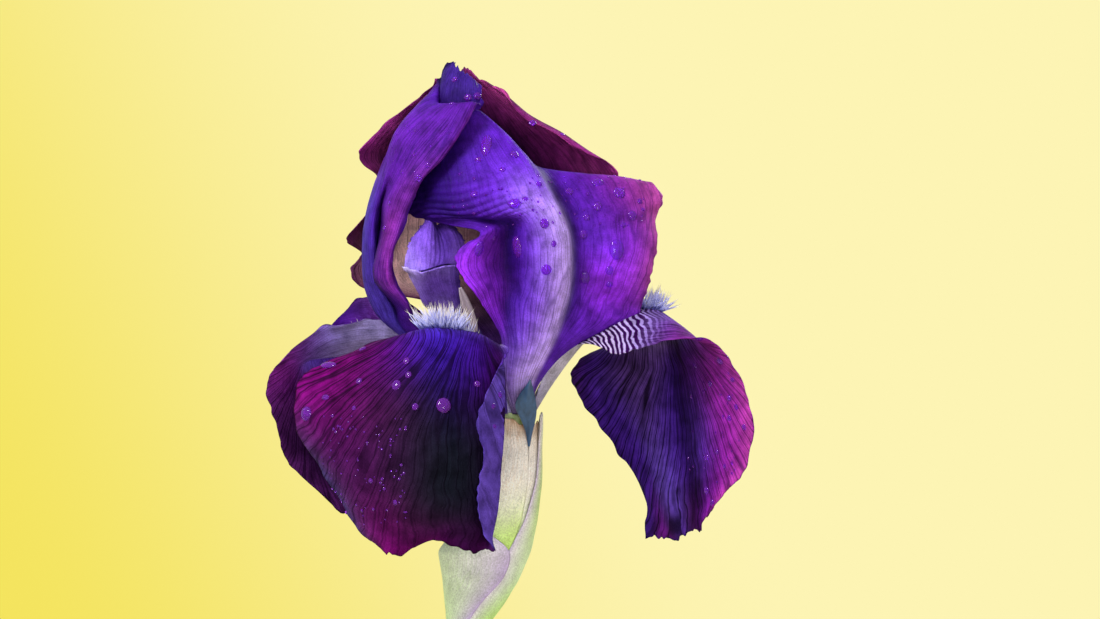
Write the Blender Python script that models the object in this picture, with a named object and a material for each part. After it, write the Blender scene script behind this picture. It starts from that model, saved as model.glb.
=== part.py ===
"""A cut bearded iris standing in a plain bud vase.

Run with: blender --background --python part.py

Lengths are millimetres until the last step, where each mesh is scaled to metres. +Z is up, the origin is
the centre of the vase's underside, -Y is the side that the open front of the flower faces.

The flower is drawn about its throat, where its six petals leave the perianth tube. Each petal is a net of
points, row by row from its base to its tip and, in each row, from one margin across the midrib to the
other. The net is smoothed by a Subdivision Surface and thickened by a Solidify, as a modeller would do it.
"""

import math

import bmesh
import bpy
from mathutils import Vector

# Vase
VASE_HEIGHT = 150.0
VASE_BELLY_RADIUS = 41.0
VASE_FOOT_RADIUS = 28.0
VASE_BORE_RADIUS = 10.5  # inside the neck
VASE_WALL = 4.0
VASE_FLOOR = 7.0
VASE_LIP_FLARE = 2.5
VASE_SIDES = 32

# Stem
STEM_RADIUS = 4.5
STEM_LENGTH = 216.0
STEM_TAPER = 0.08  # the part of its radius that it loses by its top
STEM_LEAN = math.radians(2.4)
STEM_SIDES = 14

# Flower
BLOOM_WIDTH = 131.0  # from the left fall's edge to the right fall's
DRAWN_WIDTH = 131.0  # the width at which the nets below are drawn
PETAL_THICKNESS = 0.7
SPATHE_THICKNESS = 0.7
THROAT_CENTRE = (-0.8, 0.0)
OUTER_RING = 4.9  # radius of the ring that the falls grow from
INNER_RING = 4.5  # the same for the standards
STYLE_RING = 2.1
FILAMENT_RADIUS = 0.6
BEARD_RADIUS = 2.2
SEAT_GAP = 0.3  # between pieces that touch
SPATHE_ROOM = 0.71  # between the stem and the spathe's outer valves, where they grow from the node

MM = 0.001
SCALE = BLOOM_WIDTH / DRAWN_WIDTH

# The flower's own piece under the throat: the top of the stem is at this drawn point.
STEM_TOP_DRAWN = (-13.3, 0.0, -50.0)

# Falls: the three outer petals, which arch out and hang. Each row runs margin, midrib, margin.
FALL_FRONT_BASE = (-72, -22)  # degrees round the throat, 0 towards -Y, positive towards +X
FALL_FRONT = (
    ((-13, -8, 13.5), (-11.5, -10, 11), (-8.5, -12, 9.5),
     (-6, -13, 11), (-4.5, -13, 13), (-4, -12.5, 14.5)),
    ((-25, -17, 20), (-21, -21, 19), (-15, -25, 18.5),
     (-9.5, -26, 18.5), (-5.5, -25.5, 18), (-4.5, -24, 19)),
    ((-38, -24, 19.5), (-30, -31, 22.5), (-22, -35, 24.5),
     (-12.5, -36, 23), (-5, -34, 19), (-2.5, -32, 17)),
    ((-52, -27, 16), (-40, -36, 13), (-25, -43, 13),
     (-13, -41.5, 12), (-2.5, -35, 11), (-6, -40, 11.5)),
    ((-61.5, -27, 7), (-47, -39, 1), (-26, -48, 0), (-14, -45, 0), (-2.5, -38.5, -1), (-10.5, -46, -1)),
    ((-58.5, -29, -7), (-46, -40, -12), (-27, -49.5, -12),
     (-14, -45.5, -12), (-3.5, -39, -13), (-8.8, -46, -13)),
    ((-49, -33, -18), (-39.5, -41, -24), (-27.5, -48, -24),
     (-16, -45, -25), (-4.2, -39.5, -24), (-11, -45.5, -23)),
    ((-40, -36, -30), (-35, -40, -33.5), (-28.5, -44.5, -34),
     (-18, -43, -32), (-7, -39.5, -34), (-6.4, -43, -34.2)),
)
FALL_RIGHT_BASE = (112, 62)
FALL_RIGHT = (
    ((8, 6, 13), (9, 4, 10), (9.5, 1.5, 9), (9.5, -0.5, 9), (9, -2.5, 10.5), (8, -4, 13.5)),
    ((17, 13, 20), (18, 9, 20.5), (18, 4, 20), (18, 0, 20), (17.5, -4, 20.5), (16.5, -8, 19.5)),
    ((26, 20, 22), (27, 13, 26), (27.5, 5, 27), (27.5, 0, 27), (27, -7, 25), (26, -13, 16.5)),
    ((31, 28, 18), (35, 18, 25), (37, 8, 28), (38, 2, 28.5), (37, -7, 25.5), (34.5, -12, 17.5)),
    ((22, 33, 17), (31, 24, 20), (40, 15, 21), (43, 10, 23), (45, -2, 24), (44, -9, 20.5)),
    ((13.5, 33, 12), (26, 27, 12), (38.5, 20, 12), (44, 15, 13), (51.5, 2, 15), (57, -7, 16)),
    ((17.5, 33, 2), (28, 28, 1), (39, 21, 1), (45.5, 16, 2), (53.5, 3, 2), (62.6, -8, 4)),
    ((28, 31, -11), (34, 26, -11), (41, 20, -11), (47, 15, -10), (54.5, 4, -10), (62.6, -5, -11)),
    ((34.5, 27, -24), (38, 22, -24), (43, 17, -24), (48.5, 13, -22), (53, 6, -20), (57.5, 0, -20.5)),
    ((36.5, 22, -34.5), (40, 18, -34.5), (44.5, 15, -34),
     (49, 12, -32), (50.5, 9, -29.5), (52.5, 6, -26)),
)
FALL_LEFT_BASE = (-122, -170)
FALL_LEFT = (
    ((-12, 3, 13), (-12, 5, 10), (-12, 7.5, 9), (-10.5, 9, 10), (-9.5, 10.5, 13)),
    ((-24, 6, 23.5), (-24, 9, 20), (-24, 13, 19), (-23, 18, 20), (-21, 22, 24)),
    ((-38, 6, 26), (-38, 11, 25), (-38, 17, 25), (-37, 24, 28), (-35, 30, 31)),
    ((-50, 5, 24), (-51, 11, 25.5), (-51, 18, 27), (-49, 27, 29), (-46, 36, 29)),
    ((-61.5, 4, 18), (-62, 12, 20), (-60, 20, 21), (-55, 31, 22), (-50, 41, 20)),
    ((-70, 4, 9), (-68, 13, 9), (-64, 22, 9), (-57, 34, 9), (-50, 44, 7)),
    ((-67.5, 4, -4), (-66, 13, -5), (-62, 23, -5), (-55, 34, -5), (-48, 43, -6)),
    ((-60, 6, -17), (-59, 14, -18), (-56, 22, -18), (-50, 31, -18), (-44, 38, -17)),
    ((-49, 10, -27), (-49, 16, -28), (-47, 22, -28), (-43, 28, -27), (-40, 33, -25)),
)

# Standards: the three inner petals, which rise and close into a dome.
STANDARD_FRONT_BASE = (-8, 48)
STANDARD_FRONT = (
    ((-4.5, -8.5, 10), (-4, -9, 9.5), (-3, -9.6, 9), (-2, -10, 9),
     (-0.5, -10.2, 9), (1, -10, 9), (2.5, -9.4, 9), (4, -8.7, 9), (5.5, -7.7, 9)),
    ((-6.5, -12.5, 20), (-5, -13.2, 19.5), (-2.5, -13.8, 19), (0, -14.8, 19), (3, -15, 19),
     (6.3, -14.2, 18.5), (7.5, -12.8, 18), (9, -11.2, 18), (10.5, -9.5, 18)),
    ((-9.5, -17, 27), (-7, -17, 28), (-3, -16.5, 29), (0, -19.5, 29),
     (6, -19.5, 29.5), (11, -16.5, 30), (12, -13.5, 29), (14, -11, 28), (18, -9, 27.5)),
    ((-17, -27, 37), (-9, -23, 38), (0, -17.5, 38), (3, -24, 39), (9, -23, 39.5),
     (13.8, -18, 40), (15, -13, 38), (24, -9, 33), (34, -6, 30.5)),
    ((-15, -26, 45), (-9, -24, 46), (-2, -19, 47), (2, -25.5, 48), (8, -24, 49),
     (13.5, -19, 49.5), (15, -12.5, 48), (27, -8, 44), (38, -4, 41)),
    ((-16, -23, 53.5), (-11, -23.5, 54), (-6, -24, 55), (-1, -24.5, 56),
     (5, -23.5, 57.5), (10.5, -19, 58.5), (12, -12, 57), (25, -7, 56), (40, -2, 57)),
    ((-30, -10, 54), (-24, -15, 57), (-17, -19, 59), (-9, -21.5, 61),
     (-1.5, -20.5, 64), (5, -18, 66), (7, -12, 64.5), (16, -8, 65), (26, -4, 66)),
    ((-29, -6, 64), (-25, -10, 66), (-20, -13.5, 68), (-14, -15.5, 70),
     (-7, -16, 72), (-1.5, -15, 74), (0, -11, 72), (4, -8, 70), (9, -6, 68.5)),
    ((-22, -3, 78), (-20, -6, 79), (-17.5, -8, 80), (-14, -9.5, 81),
     (-11.5, -10.3, 82), (-9.5, -10.5, 83), (-8.5, -9, 82), (-7, -8, 80.5), (-5, -7, 79)),
)
STANDARD_LEFT_BASE = (-114, -84)
STANDARD_LEFT = (
    ((-17, 1.5, 14), (-18, 0.5, 12.5), (-18.5, -1, 11.5),
     (-18, -3, 11.5), (-17, -4.5, 12), (-15.5, -5.5, 13)),
    ((-36, 1, 27), (-35.5, -1, 25), (-34, -3, 23.5),
     (-32, -5, 22.5), (-29.5, -7, 22.5), (-27, -8.5, 23)),
    ((-44, 4, 37), (-43.5, 0.5, 36.5), (-42, -3.5, 36), (-39, -8, 35), (-35, -12, 33), (-31, -14, 30)),
    ((-43, 7, 48), (-43, 2, 48), (-41.5, -4, 47.5), (-39, -9, 46), (-36, -13.5, 43), (-34, -16, 38.5)),
    ((-40, 8, 60), (-40, 2, 59), (-38.5, -6, 57.5),
     (-36, -11, 56), (-33.5, -14.5, 53.5), (-31.5, -16.5, 50)),
    ((-37, 8, 70), (-37.5, 1, 69), (-37, -8, 67), (-32, -14, 64), (-29, -17.5, 61), (-27.5, -19, 58)),
    ((-30, 7, 81), (-32, 0, 79), (-33, -9, 76.5), (-28, -15, 73), (-23.5, -19, 70), (-20.5, -20.5, 67)),
    ((-22, 3, 90), (-23.5, -2, 87), (-24, -9, 83), (-20, -15, 80), (-17, -19, 78), (-14.5, -20, 76)),
    ((-18.5, 0, 95), (-16.5, -3.5, 93), (-14, -7, 90),
     (-12, -11, 87), (-10.5, -14, 85), (-9, -16, 83.5)),
)
STANDARD_BACK_BASE = (174, 128)
STANDARD_BACK = (
    ((-5, 12.5, 15), (-3.5, 13, 14), (-1.5, 13, 13),
     (0.5, 12.5, 12.5), (2.5, 12, 13), (4.5, 11.5, 14), (6, 10.5, 15)),
    ((-20, 25, 30), (-14, 24, 27), (-7, 23.5, 26), (-1, 23, 26),
     (5, 22, 26), (11, 20.5, 27), (16, 18.5, 29)),
    ((-42, 22, 33), (-32, 27, 36), (-18, 29, 38),
     (-4, 29, 39), (9, 27, 39), (19, 23, 39), (26, 18, 38)),
    ((-49, 18, 46), (-37, 25, 48), (-21, 29, 50),
     (-6, 29, 51), (10, 26, 51), (21, 21, 50), (30, 15, 49)),
    ((-44, 17, 60), (-36, 22, 61), (-22, 26, 62),
     (-8, 26, 63), (9, 23, 62), (20, 18, 61), (30, 12, 60)),
    ((-46, 15, 70), (-36, 17, 72), (-23, 20, 73),
     (-10, 20, 74), (4, 18, 72), (14, 14, 69.5), (27, 8, 65)),
    ((-35, 13, 82), (-29, 13, 83), (-21, 13.5, 84),
     (-12, 13, 84), (-4, 12, 82), (3, 10, 79), (9, 7, 76)),
    ((-22, 11, 91), (-19.5, 10, 91), (-16.5, 9, 92),
     (-13, 8, 93), (-10, 7.5, 92), (-7, 7, 90), (-4.5, 6, 87)),
)

# Style arms: for each row, the strap's middle point and its half width; then the way its margins run.
STYLE_HALF_WIDTHS = (1.2, 3.0, 4.6, 6.6, 8.0, 8.8, 5.6)
STYLE_ARMS = {
    "style_arm_front": ((-6.3, -4.3, 13.0), (-14.6, -11.5, 23),
        (-20.3, -16.5, 31.5), (-22.3, -20, 38.5), (-22, -18.5, 45.5), (-20.5, -15, 52.5)),
    "style_arm_right": ((5.3, 2.2, 13), (10.5, 4, 24),
        (15, 6, 33), (17.5, 7.5, 40), (17.5, 9, 47), (16, 10, 53)),
    "style_arm_left": ((-6.7, 5.3, 13.4), (-13.5, 9.5, 24),
        (-19, 12.5, 33), (-22, 14, 40), (-22.5, 15.5, 47), (-21.5, 16.5, 53)),
}
STYLE_AZIMUTHS = {"style_arm_front": -50, "style_arm_right": 95, "style_arm_left": -140}  # round the throat
STYLE_ACROSS = {
    "style_arm_front": (0.97, -0.22), "style_arm_right": (0.3, -0.95), "style_arm_left": (-0.55, -0.84),
}

# Stamens: the filament's points, then the point that the anther reaches up to from the filament's end.
FILAMENTS = {
    "front": ((-3.44, -2.22, 0.2), (-7.0, -7.9, 10.3), (-10.8, -15.3, 21.6)),
    "right": ((2.65, 0.1, 0.2), (7.6, 1.6, 10.4), (12.2, 2.6, 20)),
    "left": ((-2.78, 2.83, 0.2), (-9.4, 7.0, 11.8), (-16.4, 10.6, 20.2)),
}
ANTHER_TIPS = {"front": (-15.2, -20.9, 34), "right": (18.6, 5.2, 31), "left": (-23.5, 14.2, 31)}
ANTHER_WIDTH = 1.5  # half of it, at its widest
ANTHER_DEPTH = 0.9

# Beards: the line that each runs along, above its fall's midrib.
BEARDS = {
    "beard_front": ((-10.6, -17.5, 16), (-14.6, -23.5, 20.7), (-18.4, -29.5, 24.5), (-21.8, -34.5, 26.9)),
    "beard_right": ((18.2, 2.4, 23.9), (24, 3, 27.8), (30.5, 4, 30.6), (36.5, 5.5, 31)),
    "beard_left": ((-24.6, 12.4, 22.6), (-31, 14.4, 26), (-38.4, 16.6, 28.2), (-46, 18, 29.4)),
}

# Perianth tube with the ovary below it: (x, z, radius) up its length.
TUBE = (
    (-12.9, -48.9, 2.6), (-12.0, -46, 3.8), (-10.6, -40, 4.2), (-8.0, -32, 3.4), (-4.8, -22, 2.5),
    (-2.4, -12, 2.3), (-1.1, -5, 2.6), (-0.6, -1.7, 3.9), (-0.5, -0.6, 4.4),
)
TUBE_SIDES = 14

# Spathe: the sheath's middle line, width and depth at each height: (z, x of middle, half width, half depth).
# Its foot fits the top of the stem, under the outer valves' layer.
SPATHE_OUTER_LAYER = 1.4
SPATHE_FOOT = STEM_RADIUS * (1 - STEM_TAPER) / SCALE + SPATHE_THICKNESS / 2 + SPATHE_ROOM - SPATHE_OUTER_LAYER
SPATHE = (
    (-57, -13.5, SPATHE_FOOT, SPATHE_FOOT),
    (-51, -11.6, 6.4, 6.0), (-45, -10.0, 8.6, 7.4), (-37, -8.9, 10.8, 8.4),
    (-28, -4.8, 8.8, 7.6), (-18, -1.8, 6.8, 6.3), (-9, -0.4, 5.4, 5.6), (-1.8, -0.1, 5.3, 5.4),
)
# Each valve: how far out of the sheath it lies, then the two margins' azimuths at each height it spans.
SPATHE_INNER = {
    "layer": 0.0,
    "heights": (-45, -37, -28, -18, -9, -1.8),
    "margins": ((30, 380), (32, 382), (34, 384), (36, 385), (38, 383), (40, 380)),
}
SPATHE_FRONT = {
    "layer": SPATHE_OUTER_LAYER,
    "heights": (-57, -51, -45, -40, -36, -32.5, -29),
    "margins": ((-170, -5), (-165, 10), (-160, 32), (-155, 38), (-148, 30), (-135, 2), (-115, -35)),
}
SPATHE_BACK = {
    "layer": SPATHE_OUTER_LAYER,
    "heights": (-57, -51, -45, -37, -28, -18, -9, 0.4),
    "margins": ((8, 178), (22, 182), (44, 184), (58, 186), (64, 180), (68, 165), (72, 145), (80, 115)),
}

# The next flower's tip, poking out of the spathe's slit: (x, y, z, half width, half depth)
BUD = (
    (3.0, -5.9, -8.6, 0.35, 0.3), (3.0, -6.3, -5, 0.8, 0.6),
        (2.8, -7.2, -1.5, 1.8, 0.9), (1.9, -9.4, 2, 2.9, 1.1),
    (2.2, -11.2, 5, 2.2, 1.0), (3.0, -12.2, 7.6, 1.0, 0.6), (3.3, -12.7, 9.2, 0.3, 0.3),
)
BUD_SIDES = 10

COLOURS = {
    "velvet_violet": (0.10, 0.012, 0.20),
    "deep_magenta": (0.09, 0.008, 0.13),
    "lavender": (0.22, 0.10, 0.50),
    "style_violet": (0.20, 0.09, 0.42),
    "beard_white": (0.75, 0.72, 0.80),
    "pollen_cream": (0.55, 0.45, 0.38),
    "stem_green": (0.22, 0.38, 0.12),
    "papery_green": (0.55, 0.56, 0.40),
    "bud_blue": (0.01, 0.02, 0.05),
    "celadon": (0.44, 0.54, 0.47),
}
SHEEN = {"celadon": 0.22, "bud_blue": 0.4}
ROUGH_DEFAULT = 0.6


def material(name):
    """The named finish, made once: a Principled BSDF with its colour and roughness."""
    found = bpy.data.materials.get(name)
    if found:
        return found
    made = bpy.data.materials.new(name)
    made.use_nodes = True
    shader = made.node_tree.nodes["Principled BSDF"]
    shader.inputs["Base Color"].default_value = (*COLOURS[name], 1.0)
    shader.inputs["Roughness"].default_value = SHEEN.get(name, ROUGH_DEFAULT)
    shader.inputs["Metallic"].default_value = 0.0
    return made


def new_object(name, points, faces, finish):
    """A mesh object of these points, in millimetres, and faces, in the scene with its finish."""
    mesh = bpy.data.meshes.new(name)
    mesh.from_pydata([Vector(p) * MM for p in points], [], faces)
    mesh.materials.append(material(finish))
    mesh.shade_smooth()
    made = bpy.data.objects.new(name, mesh)
    bpy.context.scene.collection.objects.link(made)
    return made


def stem_top():
    """The stem leans on the vase's bore and stands on its floor, so its top follows from both."""
    foot_z = VASE_FLOOR + SEAT_GAP + STEM_RADIUS * math.sin(STEM_LEAN)
    rim_z = VASE_HEIGHT - VASE_LIP_FLARE - 4.0
    radius_there = STEM_RADIUS * (1 - STEM_TAPER * (rim_z - foot_z) / STEM_LENGTH)
    at_rim = VASE_BORE_RADIUS - radius_there / math.cos(STEM_LEAN) - SEAT_GAP
    foot = Vector((at_rim - (rim_z - foot_z) * math.tan(STEM_LEAN), 0, foot_z))
    along = Vector((math.sin(STEM_LEAN), 0, math.cos(STEM_LEAN)))
    return foot, foot + along * STEM_LENGTH


def flower_point(p):
    """A point drawn about the throat, placed on top of the stem."""
    _, top = stem_top()
    return top + (Vector(p) - Vector(STEM_TOP_DRAWN)) * SCALE


def round_throat(azimuth, radius, z=0.0):
    """The drawn point at this azimuth, in degrees, on a ring round the throat."""
    a = math.radians(azimuth)
    return (THROAT_CENTRE[0] + radius * math.sin(a), THROAT_CENTRE[1] - radius * math.cos(a), z)


def base_row(azimuths, count, radius):
    """A petal's first row: evenly spaced points on the ring, from one azimuth to the other."""
    start, end = azimuths
    return [round_throat(start + (end - start) * k / (count - 1), radius) for k in range(count)]


def sheet(name, rows, thickness, finish, closed_round=False):
    """A net of rows made into a smooth sheet of this thickness, one closed solid."""
    columns = len(rows[0])
    points = [flower_point(p) for row in rows for p in row]
    faces = []
    for i in range(len(rows) - 1):
        for j in range(columns - 1):
            a = i * columns + j
            faces.append((a, a + 1, a + columns + 1, a + columns))
    made = new_object(name, points, faces, finish)
    smooth = made.modifiers.new("smooth", "SUBSURF")
    smooth.levels = smooth.render_levels = 1
    smooth.boundary_smooth = "PRESERVE_CORNERS"
    thick = made.modifiers.new("thickness", "SOLIDIFY")
    thick.thickness = thickness * SCALE * MM
    thick.offset = 0.0
    thick.use_even_offset = True
    return made


def petal(name, base, net, radius, finish):
    """A petal whose first row lies on the throat's ring."""
    rows = [base_row(base, len(net[0]), radius), *net]
    return sheet(name, rows, PETAL_THICKNESS, finish)


def style_arm(name, finish):
    """A strap that arches over its fall. Its margins droop, and its last rows are the crest."""
    first = round_throat(STYLE_AZIMUTHS[name], STYLE_RING, 0.2)
    middles = [first, *STYLE_ARMS[name]]
    across = Vector((*STYLE_ACROSS[name], 0.0)).normalized()
    rows = []
    for middle, half in zip(middles, STYLE_HALF_WIDTHS):
        droop = 0.10 * half
        rows.append([
            tuple(Vector(middle) + across * half * side - Vector((0, 0, droop * abs(side) ** 2)))
            for side in (-1.0, -0.4, 0.4, 1.0)
        ])
    return sheet(name, rows, PETAL_THICKNESS, finish)


def rings(name, sections, finish):
    """A closed solid through rings of points, each (centre, x axis, y axis, sides), with flat ends."""
    points, faces = [], []
    sides = sections[0][3]
    for centre, ax, ay, _ in sections:
        for k in range(sides):
            a = 2 * math.pi * k / sides
            points.append(Vector(centre) + Vector(ax) * math.cos(a) + Vector(ay) * math.sin(a))
    for i in range(len(sections) - 1):
        for k in range(sides):
            a, b = i * sides + k, i * sides + (k + 1) % sides
            faces.append((a, b, b + sides, a + sides))
    faces.append(tuple(reversed(range(sides))))
    faces.append(tuple(range((len(sections) - 1) * sides, len(sections) * sides)))
    return new_object(name, points, faces, finish)


def tapered_cord(name, points, radii, finish, sides=8):
    """A round-section solid along these drawn points, with a radius at each."""
    placed = [flower_point(p) for p in points]
    sections = []
    for i, p in enumerate(placed):
        along = (placed[min(i + 1, len(placed) - 1)] - placed[max(i - 1, 0)]).normalized()
        side = along.cross(Vector((0, 1, 0)))
        side = side.normalized() if side.length > 0.1 else Vector((1, 0, 0))
        other = along.cross(side).normalized()
        r = radii[i] * SCALE
        sections.append((p, side * r, other * r, sides))
    return rings(name, sections, finish)


def smooth_points(points, steps):
    """More points through these ones: Catmull-Rom between each pair, steps to a pair."""
    p = [Vector(q) for q in points]
    p = [2 * p[0] - p[1], *p, 2 * p[-1] - p[-2]]
    made = []
    for i in range(1, len(p) - 2):
        for k in range(steps):
            t = k / steps
            a, b, c, d = p[i - 1], p[i], p[i + 1], p[i + 2]
            made.append(0.5 * (2 * b + (c - a) * t + (2 * a - 5 * b + 4 * c - d) * t * t
                               + (3 * b - a - 3 * c + d) * t ** 3))
    return [*made, p[-2]]


def filament(name, points, finish):
    """The stamen's thread, tapering a little to its anther."""
    line = smooth_points(points, 4)
    n = len(line) - 1
    radii = [FILAMENT_RADIUS * (1 - 0.35 * k / n) for k in range(n + 1)]
    return tapered_cord(name, line, radii, finish, 6)


def anther(name, filament_end, tip, finish):
    """A flat lobe, widest in its middle, from a seat gap past its filament's end up to its tip."""
    end, b = Vector(filament_end), Vector(tip)
    along = (b - end).normalized()
    a = end + along * SEAT_GAP / SCALE
    side = along.cross(Vector((0, 1, 0))).normalized()
    other = along.cross(side).normalized()
    sections = []
    for t, w in ((0.0, 0.25), (0.06, 0.7), (0.25, 1.0), (0.6, 0.95), (0.9, 0.6), (1.0, 0.2)):
        centre = flower_point(a + (b - a) * t)
        sections.append((centre, side * ANTHER_WIDTH * w * SCALE, other * ANTHER_DEPTH * w * SCALE, 8))
    return rings(name, sections, finish)


def beard(name, points, finish):
    """The core of the beard: a soft roll, thinner at both ends, that its hairs grow round."""
    line = smooth_points(points, 3)
    n = len(line) - 1
    swell = [math.sin(math.pi * min(max(k / n, 0.04), 0.96)) ** 0.5 for k in range(n + 1)]
    radii = [BEARD_RADIUS * (0.35 + 0.65 * s) for s in swell]
    return tapered_cord(name, line, radii, finish, 8)


def sheath_at(z):
    """The spathe's middle, half width and half depth at a drawn height, straight between SPATHE's rows."""
    low = SPATHE[0]
    for high in SPATHE[1:]:
        if z <= high[0] or high is SPATHE[-1]:
            t = (z - low[0]) / (high[0] - low[0])
            return [low[k] + (high[k] - low[k]) * t for k in (1, 2, 3)]
        low = high
    raise ValueError(z)


def valve(name, shape, columns, finish):
    """One leaf of the spathe: it wraps the sheath between two margins that change with height."""
    rows = []
    for z, (start, end) in zip(shape["heights"], shape["margins"]):
        middle, width, depth = sheath_at(z)
        out = shape["layer"]
        row = []
        for k in range(columns):
            a = math.radians(start + (end - start) * k / (columns - 1))
            row.append((middle + (width + out) * math.sin(a), -(depth + out) * math.cos(a), z))
        rows.append(row)
    return sheet(name, rows, SPATHE_THICKNESS, finish)


def bud_tip(name, finish):
    """A dark, pinched point with an oval section."""
    sections = []
    for x, y, z, width, depth in BUD:
        wide, deep = Vector((width, 0, 0)) * SCALE, Vector((0, depth, 0)) * SCALE
        sections.append((flower_point((x, y, z)), wide, deep, BUD_SIDES))
    return rings(name, sections, finish)


def stem(name, finish):
    """The cut scape: a straight, slightly tapering rod from the vase's floor up into the spathe."""
    foot, top = stem_top()
    along = (top - foot).normalized()
    side = along.cross(Vector((0, 1, 0))).normalized()
    sections = []
    count = 8
    for k in range(count + 1):
        t = k / count
        r = STEM_RADIUS * (1 - STEM_TAPER * t)
        sections.append((foot + (top - foot) * t, side * -r, Vector((0, r, 0)), STEM_SIDES))
    return rings(name, sections, finish)


def vase_profile():
    """Radius and height up the outside, over the lip and down the inside."""
    h, belly, bore, wall = VASE_HEIGHT, VASE_BELLY_RADIUS, VASE_BORE_RADIUS, VASE_WALL
    neck = bore + wall
    foot = VASE_FOOT_RADIUS
    swell = belly - foot
    shoulder = belly - neck
    outside = [
        (foot - 1.5, 0), (foot, 1.5),
        (foot + 0.45 * swell, 0.07 * h), (foot + 0.85 * swell, 0.17 * h),
        (belly, 0.30 * h), (belly - 0.06 * shoulder, 0.40 * h), (belly - 0.26 * shoulder, 0.50 * h),
        (belly - 0.55 * shoulder, 0.60 * h), (belly - 0.80 * shoulder, 0.70 * h),
        (neck + 0.05 * shoulder, 0.80 * h), (neck, 0.88 * h), (neck + 0.3 * VASE_LIP_FLARE, 0.95 * h),
        (neck + VASE_LIP_FLARE, h - 1.2), (neck + VASE_LIP_FLARE - 1.0, h),
    ]
    lip = [(bore + VASE_LIP_FLARE, h), (bore + 0.4 * VASE_LIP_FLARE, h - 1.6)]
    inside = [(bore, h - VASE_LIP_FLARE - 3.0), (bore, 0.80 * h)]
    inside += [(r - wall, z) for r, z in reversed(outside[3:9])]
    inside += [(foot + 0.45 * swell - wall, VASE_FLOOR + 4.0), (foot - wall - 3.0, VASE_FLOOR)]
    return outside + lip + inside


def vase(name, finish):
    """A turned pot: its profile swept round Z, closed by a flat underside and a flat floor."""
    mesh = bmesh.new()
    loop = []
    for r, z in vase_profile():
        loop.append(mesh.verts.new((r * MM, 0, z * MM)))
    edges = [mesh.edges.new((a, b)) for a, b in zip(loop, loop[1:])]
    bmesh.ops.spin(
        mesh, geom=loop + edges, cent=(0, 0, 0), axis=(0, 0, 1),
        angle=2 * math.pi, steps=VASE_SIDES, use_merge=True,
    )
    bmesh.ops.remove_doubles(mesh, verts=mesh.verts, dist=1e-6)
    rims = [e for e in mesh.edges if e.is_boundary]
    bmesh.ops.holes_fill(mesh, edges=rims, sides=0)
    bmesh.ops.recalc_face_normals(mesh, faces=mesh.faces)
    data = bpy.data.meshes.new(name)
    mesh.to_mesh(data)
    mesh.free()
    data.materials.append(material(finish))
    data.shade_smooth()
    data.set_sharp_from_angle(angle=math.radians(40))
    made = bpy.data.objects.new(name, data)
    bpy.context.scene.collection.objects.link(made)
    return made


def main():
    for old in list(bpy.data.objects):
        bpy.data.objects.remove(old)
    vase("vase", "celadon")
    stem("stem", "stem_green")
    tube_line, tube_radii = [(x, 0, z) for x, z, _ in TUBE], [r for _, _, r in TUBE]
    tapered_cord("perianth_tube", tube_line, tube_radii, "papery_green", TUBE_SIDES)
    valve("spathe_inner_valve", SPATHE_INNER, 13, "papery_green")
    valve("spathe_front_valve", SPATHE_FRONT, 8, "papery_green")
    valve("spathe_back_valve", SPATHE_BACK, 7, "papery_green")
    bud_tip("bud_tip", "bud_blue")
    petal("fall_front", FALL_FRONT_BASE, FALL_FRONT, OUTER_RING, "velvet_violet")
    petal("fall_right", FALL_RIGHT_BASE, FALL_RIGHT, OUTER_RING, "deep_magenta")
    petal("fall_left", FALL_LEFT_BASE, FALL_LEFT, OUTER_RING, "deep_magenta")
    petal("standard_front", STANDARD_FRONT_BASE, STANDARD_FRONT, INNER_RING, "lavender")
    petal("standard_left", STANDARD_LEFT_BASE, STANDARD_LEFT, INNER_RING, "lavender")
    petal("standard_back", STANDARD_BACK_BASE, STANDARD_BACK, INNER_RING, "deep_magenta")
    for name in STYLE_ARMS:
        style_arm(name, "style_violet")
    for side, points in FILAMENTS.items():
        filament(f"filament_{side}", points, "pollen_cream")
        anther(f"anther_{side}", points[-1], ANTHER_TIPS[side], "pollen_cream")
    for name, points in BEARDS.items():
        beard(name, points, "beard_white")


main()
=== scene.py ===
"""A cut bearded iris in a plain glazed bud vase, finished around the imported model.

Lengths are millimetres about the flower's throat, where its petals meet, until place() moves them.
"""

import bpy
import numpy as np
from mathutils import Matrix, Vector


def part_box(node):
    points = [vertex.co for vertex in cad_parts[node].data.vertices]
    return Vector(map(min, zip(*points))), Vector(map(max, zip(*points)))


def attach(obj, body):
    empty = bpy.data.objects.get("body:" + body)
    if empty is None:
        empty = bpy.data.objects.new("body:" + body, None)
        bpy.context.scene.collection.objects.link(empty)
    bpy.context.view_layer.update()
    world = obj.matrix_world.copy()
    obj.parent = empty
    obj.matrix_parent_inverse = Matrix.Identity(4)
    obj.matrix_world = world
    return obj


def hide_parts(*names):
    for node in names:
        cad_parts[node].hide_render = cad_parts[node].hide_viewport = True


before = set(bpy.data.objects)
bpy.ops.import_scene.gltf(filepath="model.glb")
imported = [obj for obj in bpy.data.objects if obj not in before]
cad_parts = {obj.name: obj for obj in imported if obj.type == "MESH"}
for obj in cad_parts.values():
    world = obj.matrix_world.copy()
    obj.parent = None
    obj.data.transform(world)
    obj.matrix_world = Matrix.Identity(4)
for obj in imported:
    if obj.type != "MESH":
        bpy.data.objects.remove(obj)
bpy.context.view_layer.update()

# ---------------------------------------------------------------------------------------------------------
# Vase. A slip-cast stoneware bud vase, dipped in a pale grey-green glossy glaze and fired on its dry foot.
# Its wall is turned from one profile, so it is round everywhere, with a soft rolled lip.

MM = 0.001


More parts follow.
